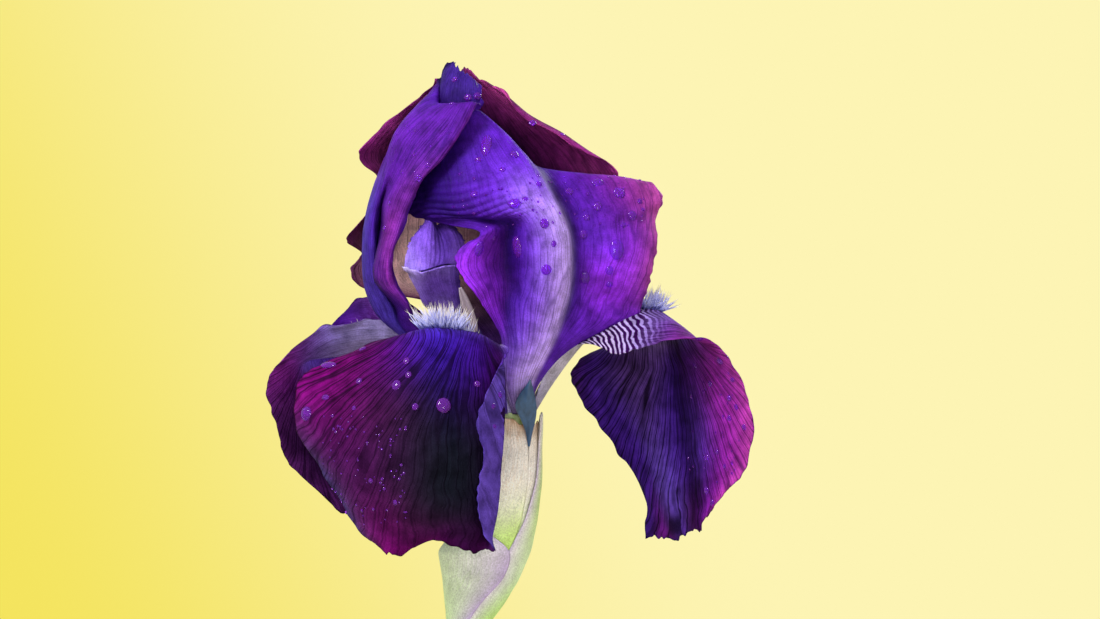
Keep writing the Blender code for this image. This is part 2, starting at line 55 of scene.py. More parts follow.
def linear(code):
    """An sRGB hex value as linear RGB: each channel c becomes ((c + 0.055) / 1.055) ** 2.4, or c / 12.92."""
    c = np.array([int(code[k : k + 2], 16) for k in (1, 3, 5)]) / 255.0
    return np.where(c <= 0.04045, c / 12.92, ((c + 0.055) / 1.055) ** 2.4)


def rgba(code):
    """An sRGB hex value as linear RGB, with an alpha of 1."""
    return (*linear(code), 1)


def fill(tree, node, inputs):
    """Gives each of a node's inputs, by name or number, a value or a link."""
    for key, value in dict(inputs).items():
        if isinstance(value, bpy.types.NodeSocket):
            tree.links.new(value, node.inputs[key])
        else:
            node.inputs[key].default_value = value


def add(tree, kind, inputs=(), **settings):
    """Adds one shader node, with its settings, and its inputs' values and links."""
    made = tree.nodes.new("ShaderNode" + kind)
    for key, value in settings.items():
        setattr(made, key, value)
    fill(tree, made, inputs)
    return made


def new_material(name):
    """A material with its node tree and its shader."""
    made = bpy.data.materials.new(name)
    made.use_nodes = True
    return made, made.node_tree, made.node_tree.nodes["Principled BSDF"]


def basis(count, samples, hold=0.0):
    """Cubic spline weights of `count` values at `samples` even steps between the first and the last. They are a
    uniform B-spline's, moved by `hold` towards Catmull-Rom weights, which pass through the values. One more value
    past each end, twice the end less its neighbour, makes the curve reach the end values."""
    t = np.linspace(0, count - 1, samples)
    i = np.minimum(t.astype(int), count - 2)
    f = t - i
    soft = np.stack([(1 - f) ** 3, 3 * f**3 - 6 * f**2 + 4, -3 * f**3 + 3 * f**2 + 3 * f + 1, f**3], 1) / 6
    firm = np.stack(
        [-(f**3) + 2 * f**2 - f, 3 * f**3 - 5 * f**2 + 2, -3 * f**3 + 4 * f**2 + f, f**3 - f**2], 1
    ) / 2
    full = np.zeros((samples, count + 2))
    full[np.arange(samples)[:, None], i[:, None] + np.arange(4)] = (1 - hold) * soft + hold * firm
    full[:, 1] += 2 * full[:, 0]
    full[:, 2] -= full[:, 0]
    full[:, -2] += 2 * full[:, -1]
    full[:, -3] -= full[:, -1]
    return full[:, 1:-1]


def piece_from(name, points, faces, material, replaced=(), attributes=(), uv=None):
    """A finished piece: metres in the mesh, the object at the origin, riding on the one body."""
    mesh = bpy.data.meshes.new(name)
    mesh.from_pydata(points.tolist(), [], faces if isinstance(faces, list) else faces.tolist())
    mesh.materials.append(material)
    mesh.shade_smooth()
    for key, values in dict(attributes).items():
        tint = np.ones((len(points), 4), np.float32)
        tint[:, :3] = values
        mesh.attributes.new(key, "FLOAT_COLOR", "POINT").data.foreach_set("color", tint.ravel())
    if uv is not None:
        corner = np.empty(len(mesh.loops), np.int32)
        mesh.loops.foreach_get("vertex_index", corner)
        mesh.uv_layers.new(name="petal").data.foreach_set("uv", uv.astype(np.float32)[corner].ravel())
    made = bpy.data.objects.new(name, mesh)
    bpy.context.scene.collection.objects.link(made)
    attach(made, "root")
    if replaced:
        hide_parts(*replaced)


def grid_faces(rows, columns, wrap=False):
    """Quads of a grid of points, row by row; with wrap, the last column joins the first."""
    i = np.arange(rows - 1)[:, None]
    j = np.arange(columns if wrap else columns - 1)[None, :]
    a, b = i * columns + j, i * columns + (j + 1) % columns
    return np.stack([a, b, b + columns, a + columns], -1).reshape(-1, 4)


def capped(rings, first, last):
    """A tube's points and faces: each ring of points is joined to the next, and a point closes either end."""
    rows, sides = rings.shape[:2]
    k, end = np.arange(sides), (rows - 1) * sides
    faces = grid_faces(rows, sides, wrap=True).tolist()
    faces += np.stack([0 * k + rows * sides, (k + 1) % sides, k], 1).tolist()
    faces += np.stack([0 * k + rows * sides + 1, end + k, end + (k + 1) % sides], 1).tolist()
    return np.vstack([rings.reshape(-1, 3), first, last]), faces


BELLY, _, VASE_TALL = np.array(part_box("vase")[1]) / MM
NECK, BORE, FOOT, FLOOR_THICK, WALL = 14.5, 10.5, 28.0, 7.0, 4.0


def vase_profile():
    """(radius, height) from the middle of the underside, up the outside, over the lip and down to the floor's
    middle. The points are a B-spline's, so the clay has no corners but the foot's."""
    shoulder, swell = BELLY - NECK, BELLY - FOOT
    outside = [
        (FOOT - 3.5, 0.9), (FOOT - 2.6, 0.2), (FOOT - 1.4, 0.0), (FOOT + 0.1, 1.2),
        (FOOT + 0.45 * swell, 0.07 * VASE_TALL),
        (FOOT + 0.85 * swell, 0.17 * VASE_TALL), (BELLY, 0.30 * VASE_TALL),
        (BELLY - 0.06 * shoulder, 0.40 * VASE_TALL), (BELLY - 0.26 * shoulder, 0.50 * VASE_TALL),
        (BELLY - 0.55 * shoulder, 0.60 * VASE_TALL), (BELLY - 0.80 * shoulder, 0.70 * VASE_TALL),
        (NECK + 0.05 * shoulder, 0.80 * VASE_TALL), (NECK, 0.88 * VASE_TALL), (NECK + 0.8, 0.95 * VASE_TALL),
        (NECK + 2.4, VASE_TALL - 1.6), (NECK + 1.4, VASE_TALL - 0.1), (BORE + 2.4, VASE_TALL - 0.1),
        (BORE + 0.9, VASE_TALL - 1.8),
    ]
    inside = [(r - WALL, z) for r, z in reversed(outside[5:11])]
    rest = [(BORE, VASE_TALL - 6.0), (BORE, 0.80 * VASE_TALL), *inside]
    rest += [(FOOT + 0.45 * swell - WALL, FLOOR_THICK + 4), (FOOT - WALL - 3, FLOOR_THICK + 0.4), (14, FLOOR_THICK)]
    net = np.array([(0.0, 0.9), (12.0, 0.9), (FOOT - 6, 0.9), *outside, *rest, (0.0, FLOOR_THICK)])
    line = basis(len(net), 260) @ net
    line[:, 0] = np.maximum(line[:, 0], 0.0)
    return line


def turned(profile, sides):
    """The profile carried round +Z: point k of a ring is at angle 2*pi*k/sides. The two ends are single poles."""
    a = np.linspace(0, 2 * np.pi, sides, endpoint=False)
    r, z = profile[1:-1, 0][:, None], profile[1:-1, 1][:, None]
    rings = np.stack([r * np.cos(a), r * np.sin(a), z + 0 * a], -1)
    return capped(rings, (0, 0, profile[0, 1]), (0, 0, profile[-1, 1]))


# Glossy stoneware glaze: IOR 1.5 under a clear coat, pooling a little thicker and greyer low down, with fine
# iron specks 0.6 mm wide every few millimetres; the dry foot ring shows the pale buff clay.
glaze, tree, clay = new_material("stoneware_glaze")
where = add(tree, "TexCoord")
specks = add(tree, "TexNoise", {"Vector": where.outputs["Object"], "Scale": 420.0, "Detail": 2.0})
speck_mask = add(tree, "MapRange", {"Value": specks.outputs["Fac"], "From Min": 0.70, "From Max": 0.76})
cloud = add(tree, "TexNoise", {"Vector": where.outputs["Object"], "Scale": 18.0, "Detail": 3.0})
height = add(tree, "SeparateXYZ", {0: where.outputs["Object"]})
pooled = add(tree, "MapRange", {"Value": height.outputs["Z"], "From Min": 0.0, "From Max": 0.150})
body_tone = add(
    tree, "Mix", {0: pooled.outputs[0], 6: rgba("#8FA598"), 7: rgba("#B9C9BE")}, data_type="RGBA",
)
cloudy = add(
    tree, "Mix", {0: cloud.outputs["Fac"], 6: body_tone.outputs[2], 7: rgba("#A9BBAF")}, data_type="RGBA",
)
speckled = add(
    tree, "Mix", {0: speck_mask.outputs[0], 6: cloudy.outputs[2], 7: rgba("#6A7264")}, data_type="RGBA",
)
dry = add(tree, "MapRange", {"Value": height.outputs["Z"], "From Min": 0.0008, "From Max": 0.0022})
foot_tone = add(
    tree, "Mix", {0: dry.outputs[0], 6: rgba("#C9B79A"), 7: speckled.outputs[2]}, data_type="RGBA",
)
orange_peel = add(tree, "TexNoise", {"Vector": where.outputs["Object"], "Scale": 150.0, "Detail": 1.0})
peel_bump = add(tree, "Bump", {"Height": orange_peel.outputs["Fac"], "Strength": 0.15, "Distance": 0.0004})
fill(tree, clay, {
    "Base Color": foot_tone.outputs[2], "Roughness": 0.28, "IOR": 1.5, "Coat Weight": 0.5, "Coat Roughness": 0.08,
    "Normal": peel_bump.outputs[0],
})
points, faces = turned(vase_profile(), 160)
piece_from("bud_vase", points * MM, faces, glaze, ["vase"])

# ---------------------------------------------------------------------------------------------------------
# Stem. The iris's scape: a solid green rod with a waxy grey bloom that rubs off in streaks and faint lengthwise
# ribs. It is cut straight across, stands on the vase's floor and leans on its rim.

stem_low, stem_high = (np.array(c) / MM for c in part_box("stem"))
STEM_FOOT_RADIUS, STEM_TOP_RADIUS = 4.5, 4.14
LEAN = np.arctan2(stem_high[0] - STEM_TOP_RADIUS - stem_low[0] - STEM_FOOT_RADIUS, stem_high[2] - stem_low[2])
cross_cut = np.array([np.cos(LEAN), 0, np.sin(LEAN)])
stem_foot = stem_low * (1, 0, 1) + STEM_FOOT_RADIUS * cross_cut
stem_top = stem_high * (1, 0, 1) - STEM_TOP_RADIUS * cross_cut
# The throat is this far right of the stem's top, which the spathe hides, and above it.
THROAT = stem_top + (13.3, 0.0, 50.0)


def place(points):
    """Flower points, in millimetres about the throat, in metres in the frame."""
    return (np.asarray(points) + THROAT) * MM


def unit(vectors):
    """The vectors, each divided by its length."""
    return vectors / np.maximum(np.linalg.norm(vectors, axis=-1, keepdims=True), 1e-9)


def swept(line, radii, sides, ribs=0, rib_depth=0.0):
    """A round section carried along a line of points, with a radius at each, closed by a point at both ends. The
    radius at an angle is its own times 1 + rib_depth * cos(ribs * angle)."""
    along = unit(np.gradient(line, axis=0))
    side = unit(np.cross((0, 1, 0), along))
    other = np.cross(along, side)
    a = np.linspace(0, 2 * np.pi, sides, endpoint=False)
    r = radii[:, None] * (1 + rib_depth * np.cos(ribs * a))
    rings = line[:, None] + side[:, None] * (r * np.cos(a))[..., None] + other[:, None] * (r * np.sin(a))[..., None]
    return capped(rings, line[0], line[-1])


# Plant epidermis: green chlorophyll under a thin wax, IOR 1.45, with pale streaks 0.5 mm wide running along it.
scape_skin, tree, skin = new_material("waxy_scape")
where = add(tree, "TexCoord")
stretched = add(tree, "Mapping", {"Vector": where.outputs["Object"], "Scale": (900.0, 900.0, 25.0)})
streak = add(tree, "TexNoise", {"Vector": stretched.outputs[0], "Scale": 1.0, "Detail": 3.0})
patch = add(tree, "TexNoise", {"Vector": where.outputs["Object"], "Scale": 45.0, "Detail": 2.0})
wax = add(tree, "Math", {0: streak.outputs["Fac"], 1: patch.outputs["Fac"]}, operation="MULTIPLY")
wax_range = add(tree, "MapRange", {"Value": wax.outputs[0], "From Min": 0.14, "From Max": 0.38})
green = add(tree, "Mix", {0: wax_range.outputs[0], 6: rgba("#7E9C4A"), 7: rgba("#B3C48E")}, data_type="RGBA")
stem_bump = add(tree, "Bump", {"Height": streak.outputs["Fac"], "Strength": 0.3, "Distance": 0.0003})
fill(tree, skin, {
    "Base Color": green.outputs[2], "Roughness": 0.48, "IOR": 1.45, "Normal": stem_bump.outputs[0],
})

t = np.linspace(0, 1, 90)
stem_line = stem_foot + (stem_top - stem_foot) * t[:, None]
stem_radii = STEM_FOOT_RADIUS + (STEM_TOP_RADIUS - STEM_FOOT_RADIUS) * t
points, faces = swept(stem_line, stem_radii * 0.985, 48, ribs=12, rib_depth=0.012)
piece_from("scape", points * MM, faces, scape_skin, ["stem"])

# ---------------------------------------------------------------------------------------------------------
# Spathe. Three leafy bracts that sheath the ovary and tube: a papery inner one, dry and brown-streaked above and
# green below, and two sage-green outer ones with thin violet margins, wrapped round it and joined at the node.


def spread(net, down, across, hold=0.0):
    """A net of values as a smooth grid: cubic splines down its rows and across its columns."""
    net = np.asarray(net, float)
    return np.einsum("ir,rck,jc->ijk", basis(net.shape[0], down, hold), net, basis(net.shape[1], across, hold))


def normals_of(grid):
    """Unit normals of a grid of points: its across direction crossed with its down direction."""
    return unit(np.cross(np.gradient(grid, axis=1), np.gradient(grid, axis=0)))


def smooth_noise(seed, rows, columns, down, across):
    """Random values between -1 and 1 on a coarse net, spread into soft swells, scaled to about that range."""
    coarse = np.random.default_rng(seed).uniform(-1, 1, (rows, columns, 1))
    return spread(coarse, down, across)[..., 0] * 1.6


def two_sided(grid, thick, side):
    """A closed sheet: the grid lifted by half its thickness on both sides, the two sharing their border.
    Returns points, faces, and for each point its (row, column) and whether it is on the chosen side."""
    rows, columns = grid.shape[:2]
    n = normals_of(grid)
    lift = n * thick[..., None] / 2
    border = np.zeros((rows, columns), bool)
    border[[0, -1], :] = border[:, [0, -1]] = True
    lift[border] = 0
    up, down = (grid + lift).reshape(-1, 3), (grid - lift).reshape(-1, 3)
    inner = np.flatnonzero(~border.ravel())
    where = np.arange(rows * columns)
    second = where.copy()
    second[inner] = rows * columns + np.arange(len(inner))
    front = grid_faces(rows, columns)
    back = second[front][:, ::-1]
    points = np.vstack([up, down[inner]])
    origin = np.concatenate([where, inner])
    upper = np.concatenate([np.ones(rows * columns, bool), np.zeros(len(inner), bool)])
    if side < 0:
        upper = ~upper | border.ravel()[origin]
    return points, np.vstack([front, back]), origin, upper


def colours(rows, palette):
    """A net of linear colours from one letter for each point."""
    return np.array([[linear(palette[letter]) for letter in row] for row in rows])


FAN_DEGREES, FAN_POINT = 160.0, 7.0


def sheet_piece(
    name, grid, thick, side, tones, face, under, lines, strength, haft, material, replaced, fan=None
):
    """A petal or bract: a closed sheet that carries the colour of its flesh and of its veins on every point, spread
    from rows of letters of the palette `tones`: `face` for its upper side, `under` for the lower, None where both
    are alike, and `lines` for its veins. The flesh colour also holds painted shade, painted highlights and
    painted glow where the letters put them. Its guide holds, as red, how far a point belongs to the striped haft,
    full up to `haft[0]` of the length and gone by `haft[1]`; as green, the count of stripes so far, which grows
    along the petal and falls towards its margins; and as blue, the strength of its veins. Past `fan`, if given,
    the veins run out from a point just short of that part of the midrib: their map's width is then the angle round
    that point, FAN_DEGREES from side to side."""
    points, faces, origin, upper = two_sided(grid, thick, side)
    rows, columns = grid.shape[:2]
    flesh_and_painted_light, back, vein = (
        spread(colours(letters, tones), rows, columns).reshape(-1, 3)[origin]
        for letters in (face, under or face, lines)
    )
    flesh_and_painted_light = np.where(upper[:, None], flesh_and_painted_light, back)
    across, along = np.meshgrid(np.linspace(0, 1, columns), np.linspace(0, 1, rows))
    turned_to = across
    if fan is not None:
        hinge, tip = grid[int(fan * rows), columns // 2], grid[-1, columns // 2]
        down = unit(tip - hinge)
        halfway = grid[int(0.5 * (1 + fan) * rows)]
        wide = halfway[-1] - halfway[0]
        wide = unit(wide - down * (wide @ down))
        away = grid - (hinge - FAN_POINT * down)
        angle = np.arctan2(away @ wide, away @ down)
        blend = np.clip((along - fan) / 0.1, 0, 1)
        turned_to = across + (0.5 + np.degrees(angle) / FAN_DEGREES - across) * blend
    uv = np.stack([turned_to.ravel()[origin], along.ravel()[origin]], 1)
    share = np.clip((haft[1] - along) / (haft[1] - haft[0]), 0, 1)
    stripes = along - 0.12 * np.abs(2 * across - 1)
    force = spread(np.array(strength, float)[..., None], rows, columns)[..., 0]
    guide = np.stack([share, stripes, np.clip(force, 0, 1)], -1).reshape(-1, 3)[origin]
    guide[~upper, 2] *= 1 - 0.6 * guide[~upper, 0]
    guide[~upper, 0] = 0
    tints = {"flesh_and_painted_light": np.clip(flesh_and_painted_light, 0, 1), "vein": np.clip(vein, 0, 1), "guide": guide}
    piece_from(name, place(points), faces, material, replaced, tints, uv)


def plant_skin(name, across, along, stripes, roughness, shine, glow, relief, mottling=0.38):
    """A petal's or bract's skin. Its veins are the borders of cells drawn out along the piece: `across` cells in
    its width, `along` in its length, with finer ones between. They take the vein colour and stand `relief`
    millimetres proud. The haft has `stripes` bands instead. Fine grain, 0.4 mm wide, mottles it like velvet, and
    part of the light, `glow`, comes through. Its low IOR keeps the skin from greying where it turns away."""
    made, tree, skin = new_material(name)
    uv = add(tree, "UVMap", uv_map="petal")
    flesh_and_painted_light = add(tree, "Attribute", attribute_name="flesh_and_painted_light")
    vein_tint = add(tree, "Attribute", attribute_name="vein")
    guide = add(tree, "Attribute", attribute_name="guide")
    parts = add(tree, "SeparateColor", {0: guide.outputs["Color"]})
    wobble = add(tree, "TexNoise", {"Vector": uv.outputs[0], "Scale": 7.0, "Detail": 3.0})
    centred = add(tree, "VectorMath", {0: wobble.outputs["Color"], 1: (0.5, 0.5, 0.5)}, operation="SUBTRACT")
    shift = add(tree, "VectorMath", {0: centred.outputs[0], 1: (0.045, 0.06, 0.0)}, operation="MULTIPLY")
    moved = add(tree, "VectorMath", {0: uv.outputs[0], 1: shift.outputs[0]}, operation="ADD")
    layers = []
    for widths, lengths, reach in ((across, along, 0.12), (across * 2.2, along * 1.7, 0.20)):
        drawn = add(tree, "VectorMath", {0: moved.outputs[0], 1: (widths, lengths, 1.0)}, operation="MULTIPLY")
        cells = add(
            tree, "TexVoronoi", {"Vector": drawn.outputs[0], "Scale": 1.0, "Randomness": 0.8},
            feature="DISTANCE_TO_EDGE", voronoi_dimensions="2D",
        )
        layers.append(add(
            tree, "MapRange",
            {"Value": cells.outputs["Distance"], "From Min": 0.0, "From Max": reach, "To Min": 1.0, "To Max": 0.0},
            interpolation_type="SMOOTHSTEP",
        ))
    thin = add(tree, "Math", {0: layers[1].outputs[0], 1: 0.5}, operation="MULTIPLY")
    vein = add(tree, "Math", {0: layers[0].outputs[0], 1: thin.outputs[0]}, operation="MAXIMUM")
    where = add(tree, "TexCoord")
    spot = where.outputs["Object"]
    grain = add(tree, "TexNoise", {"Vector": spot, "Scale": 2400.0, "Detail": 3.0, "Roughness": 0.7})
    grain_part = add(tree, "MapRange", {"Value": grain.outputs["Fac"], "From Min": 0.35, "From Max": 0.8})
    speck = add(
        tree, "Math", {0: grain_part.outputs[0], 1: 0.35, 2: vein.outputs[0]},
        operation="MULTIPLY_ADD", use_clamp=True,
    )
    blade = add(tree, "Math", {0: speck.outputs[0], 1: parts.outputs["Blue"]}, operation="MULTIPLY")
    turns = add(tree, "Math", {0: parts.outputs["Green"], 1: 2 * np.pi * stripes}, operation="MULTIPLY")
    bent = add(tree, "Math", {0: wobble.outputs["Fac"], 1: 24.0, 2: turns.outputs[0]}, operation="MULTIPLY_ADD")
    wave = add(tree, "Math", {0: bent.outputs[0]}, operation="SINE")
    zebra = add(
        tree, "MapRange", {"Value": wave.outputs[0], "From Min": -0.75, "From Max": 0.25},
        interpolation_type="SMOOTHSTEP",
    )
    strength = add(
        tree, "Mix", {0: parts.outputs["Red"], 2: blade.outputs[0], 3: zebra.outputs[0]}, data_type="FLOAT",
    )
    tone = add(
        tree, "Mix", {0: strength.outputs[0], 6: flesh_and_painted_light.outputs["Color"], 7: vein_tint.outputs["Color"]},
        data_type="RGBA",
    )
    mottle = add(tree, "TexNoise", {"Vector": spot, "Scale": 260.0, "Detail": 4.0})
    gains = [
        add(tree, "MapRange", {
            "Value": noise.outputs["Fac"], "From Min": 0.3, "From Max": 0.7, "To Min": 1 - part, "To Max": 1 + part,
        })
        for noise, part in ((mottle, mottling), (grain, 0.28))
    ]
    gain = add(tree, "Math", {0: gains[0].outputs[0], 1: gains[1].outputs[0]}, operation="MULTIPLY")
    shaded = add(tree, "VectorMath", {0: tone.outputs[2], 3: gain.outputs[0]}, operation="SCALE")
    raised = add(tree, "Math", {0: grain.outputs["Fac"], 1: 0.35, 2: vein.outputs[0]}, operation="MULTIPLY_ADD")
    bump = add(tree, "Bump", {"Height": raised.outputs[0], "Strength": 0.8, "Distance": relief * MM})
    fill(tree, skin, {
        "Base Color": shaded.outputs[0], "Roughness": roughness, "IOR": 1.18, "Specular IOR Level": shine,
        "Normal": bump.outputs[0],
    })
    through = add(tree, "BsdfTranslucent", {"Color": shaded.outputs[0], "Normal": bump.outputs[0]})
    both = add(tree, "MixShader", {0: glow, 1: skin.outputs[0], 2: through.outputs[0]})
    fill(tree, tree.nodes["Material Output"], {"Surface": both.outputs[0]})
    return made


# Height, middle, half width and half depth of the sheath.
SHEATH = np.array([
    (-57, -13.5, 3.8, 3.8), (-51, -11.6, 6.4, 6.0), (-45, -10.0, 8.6, 7.4), (-37, -8.9, 10.8, 8.4),
    (-28, -4.8, 8.8, 7.6), (-18, -1.8, 6.8, 6.3), (-9, -0.4, 5.4, 5.6), (-1.8, -0.1, 5.3, 5.4), (6, 0.2, 4.6, 4.6),
])


def bract(heights, margins, layer, down, across, crease, ragged, seed):
    """A wrapped bract: at each height its two margins' azimuths, and in between them an oval of the sheath's size
    plus `layer`. It winds out by 0.5 mm from its first margin to its last, so that they can overlap. It has
    lengthwise creases `crease` deep, and its top edge is torn by up to `ragged`, most of all at the back."""
    smooth = basis(len(margins), down, 0.5)
    start, end = (np.radians(smooth @ np.array([m[k] for m in margins], float)) for k in (0, 1))
    z = smooth @ np.array(heights, float)
    middle, wide, deep = (np.interp(z, SHEATH[:, 0], SHEATH[:, k]) for k in (1, 2, 3))
    kernel = np.hanning(15) / np.hanning(15).sum()
    middle, wide, deep = (np.convolve(np.pad(k, 7, mode="edge"), kernel, "valid") for k in (middle, wide, deep))
    s = np.linspace(0, 1, across)[None, :]
    v = np.linspace(0, 1, down)[:, None]
    a = start[:, None] + (end - start)[:, None] * s
    swell = smooth_noise(seed, 5, 26, down, across) + 0.8 * smooth_noise(seed + 1, 14, 9, down, across)
    out = layer + crease * swell + 0.5 * s
    x = middle[:, None] + (wide[:, None] + out) * np.sin(a)
    y = -(deep[:, None] + out) * np.cos(a)
    torn = ragged * v**6 * (0.5 * smooth_noise(seed + 2, 2, 24, down, across) + 0.5 * (np.cos(a) - 1))
    return np.stack([x, y, z[:, None] + torn], -1)


# The papery bract is thin dead tissue, nearly matt, with parallel fibres about 0.4 mm apart; the leafy ones are
# living, green under a dull wax, with softer veins.
papery = plant_skin("papery_spathe", 44.0, 3.0, 1.0, 0.55, 0.4, 0.12, 0.10, 0.12)
leafy = plant_skin("leafy_spathe", 30.0, 2.5, 1.0, 0.5, 0.4, 0.10, 0.10, 0.12)
SPATHE_TONES = {
    "w": "#FDFAF8", "t": "#F4E4D2", "b": "#A87444", "r": "#D8AA7C", "c": "#FDFBF2", "y": "#F0F8CE", "g": "#CCF084",
    "e": "#BCE488", "s": "#DCEED0", "m": "#E6DAF4", "v": "#BEA8DC", "o": "#B0CC90", "k": "#80603E",
}
NO_HAFT = (-2.0, -1.0)
inner_rows = ("oegegeo", "egygyeg", "gygyygg", "cycyycy", "wwcwwcw", "wwwtwww", "wtwrtww", "tbrbrtb")
inner_lines = ("eeeeeee", "eeeeeee", "gggeggg", "ggygyyg", "ttrttrt", "trbttbt", "bbrrbbb", "kbkbkbb")
grid = bract(
    (-45, -37, -28, -18, -9, -1.8), ((30, 395), (32, 396), (34, 397), (36, 398), (38, 393), (40, 382)),
    0.0, 150, 150, 0.22, 2.6, 5,
)
sheet_piece(
    "spathe_papery_sheath", grid, np.full(grid.shape[:2], 0.35), 1, SPATHE_TONES,
    inner_rows, None, inner_lines, ((0.5, 0.5), (0.35, 0.35), (0.3, 0.3), (0.6, 0.6)),
    NO_HAFT, papery, ["spathe_inner_valve"],
)
front_rows = ("oeesv", "oessv", "sssmv", "ssssm", "mssmm")
front_lines = ("eooev", "eooev", "eooov", "eooov", "vvvvv")
grid = bract(
    (-57, -51, -45, -40, -36, -32.5, -29),
    ((-170, -5), (-165, 10), (-160, 32), (-155, 38), (-148, 30), (-135, 2), (-115, -35)), 1.4, 120, 90, 0.14, 0.6, 9,
)
sheet_piece(
    "spathe_front_bract", grid, np.full(grid.shape[:2], 0.4), 1, SPATHE_TONES,
    front_rows, None, front_lines, ((0.35, 0.35), (0.3, 0.3)),
    NO_HAFT, leafy, ["spathe_front_valve"],
)
back_rows = ("meeesv", "mseesv", "msssgv", "mgggyv", "mygcwm", "wccwwm")
back_lines = ("veeeev", "veooev", "vooogv", "vgggyv", "veyyym", "rtbybv")
grid = bract(
    (-57, -51, -45, -37, -28, -18, -9, 0.4),
    ((-11, 178), (3, 182), (25, 184), (31, 186), (44, 180), (56, 165), (66, 145), (80, 115)), 1.1, 150, 90, 0.14,
    1.0, 14,
)
sheet_piece(
    "spathe_back_bract", grid, np.full(grid.shape[:2], 0.4), 1, SPATHE_TONES,
    back_rows, None, back_lines, ((0.35, 0.35), (0.3, 0.3)),
    NO_HAFT, leafy, ["spathe_back_valve"],
)

# ---------------------------------------------------------------------------------------------------------
# Ovary and perianth tube. The six-ribbed green ovary narrows to the pale tube, which widens again to the cup that
# the petals grow from. Only its rim is seen, between the claws.

tube_net = np.array([
    (-12.9, -48.9, 2.6), (-12.0, -46, 3.8), (-10.6, -40, 4.2), (-8.0, -32, 3.4), (-4.8, -22, 2.5),
    (-2.4, -12, 2.3), (-1.1, -5, 2.6), (-0.6, -1.9, 3.9), (-0.5, -0.8, 4.4), (-0.5, 0.3, 4.1),
])
line = basis(len(tube_net), 80) @ tube_net
points, faces = swept(np.stack([line[:, 0], 0 * line[:, 0], line[:, 1]], 1), line[:, 2], 48, ribs=6, rib_depth=0.03)
piece_from("ovary_and_tube", place(points), faces, scape_skin, ["perianth_tube"])

# ---------------------------------------------------------------------------------------------------------
# Bud tip. The next flower's rolled petals, black-blue and velvety, pushing out of the slit between the bracts;
# its shoulders are pleated and its tip is drawn to a point.

bud_net = np.array([
    (3.0, -5.9, -8.6, 0.3, 0.3), (3.0, -6.3, -5, 0.8, 0.6), (2.8, -7.2, -1.5, 1.9, 0.9), (1.8, -9.4, 2, 3.1, 1.1),
    (2.1, -11.2, 5, 2.3, 1.0), (3.0, -12.2, 7.6, 1.0, 0.6), (3.4, -12.7, 9.4, 0.15, 0.15),
])
line = basis(len(bud_net), 70) @ bud_net
a = np.linspace(0, 2 * np.pi, 40, endpoint=False)
pleat = 1 + 0.10 * np.cos(5 * a) * np.sin(np.linspace(0, np.pi, 70))[:, None]
ring = np.stack([
    line[:, 0, None] + line[:, 3, None] * pleat * np.cos(a),
    line[:, 1, None] + line[:, 4, None] * pleat * np.sin(a),
    line[:, 2, None] + 0 * a,
], -1)
points, faces = capped(ring, line[0, :3], line[-1, :3])
# Rolled petal velvet, near black, with bluish streaks about 1 mm wide along it: partly a bloom, partly a painted
# sheen.
bud_velvet, tree, skin = new_material("bud_velvet")
where = add(tree, "TexCoord")
bud_fold = add(tree, "Mapping", {"Vector": where.outputs["Object"], "Scale": (900.0, 900.0, 120.0)})
bud_noise = add(tree, "TexNoise", {"Vector": bud_fold.outputs[0], "Scale": 1.0, "Detail": 3.0})
bud_tone_painted_sheen = add(tree, "Mix", {0: bud_noise.outputs["Fac"], 6: rgba("#0E1C30"), 7: rgba("#40689A")}, data_type="RGBA")
bud_bump = add(tree, "Bump", {"Height": bud_noise.outputs["Fac"], "Strength": 0.5, "Distance": 0.0003})
fill(tree, skin, {"Base Color": bud_tone_painted_sheen.outputs[2], "Roughness": 0.38, "Normal": bud_bump.outputs[0]})
piece_from("next_bud_tip", place(points), faces, bud_velvet, ["bud_tip"])

# ---------------------------------------------------------------------------------------------------------
# Falls. The three outer petals: each rises on a striped haft, arches over at the hinge and hangs as a broad velvet
# blade. The front one faces out, the right one shows its underside, whose magenta glow is partly light let
# through and partly painted into its colour, the left one hangs behind the front.


def ring_row(azimuths, count, radius):
    """A petal's first row: even steps round the throat's ring, between two azimuths in degrees from -Y."""
    a = np.radians(np.linspace(azimuths[0], azimuths[1], count))
    return [(-0.8 + radius * x, radius * y, 0.0) for x, y in zip(np.sin(a), -np.cos(a))]


def petal_grid(net, down, across, seed, ruffle, crumple, crenate, ribs, rib_depth):
    """A petal's middle surface. The net is spread, then moved along its normal: soft swells `ruffle` deep that grow
    towards the margins, wrinkles `crumple` deep all over, and `ribs` ribs `rib_depth` deep that run along it.
    Last, its margins move in and out in its own plane by up to `crenate`."""
    grid = spread(net, down, across, 0.6)
    v, s = np.linspace(0, 1, down)[:, None], np.linspace(-1, 1, across)[None, :]
    edge = np.maximum(np.abs(s), np.clip(2 * v - 1, 0, 1) ** 2)
    rim = np.clip((edge - 0.45) / 0.55, 0, 1) ** 2
    free = np.clip((v - 0.12) / 0.3, 0, 1)
    n = normals_of(grid)
    swell = ruffle * rim * smooth_noise(seed, 22, 10, down, across)
    wrinkle = crumple * (0.35 + 0.65 * rim) * (
        smooth_noise(seed + 1, 34, 22, down, across) + 0.6 * smooth_noise(seed + 2, 60, 44, down, across)
    )
    wander = 0.02 * smooth_noise(seed + 3, 9, 5, down, across)
    rib = rib_depth * np.cos(2 * np.pi * ribs * (s + wander) / 2) * (1 - rim)
    grid = grid + n * ((swell + wrinkle) * free + rib * np.clip(v / 0.1, 0, 1))[..., None]
    sideways, onward = unit(np.gradient(grid, axis=1)), unit(np.gradient(grid, axis=0))
    bite = smooth_noise(seed + 4, 48, 30, down, across) + 0.7 * smooth_noise(seed + 5, 90, 60, down, across)
    side_part = (np.sign(s) * np.abs(s) ** 12 * free)[..., None]
    tip_part = (np.clip(2 * v - 1, 0, 1) ** 12 + 0 * s)[..., None]
    return grid + crenate * bite[..., None] * (sideways * side_part + onward * tip_part)


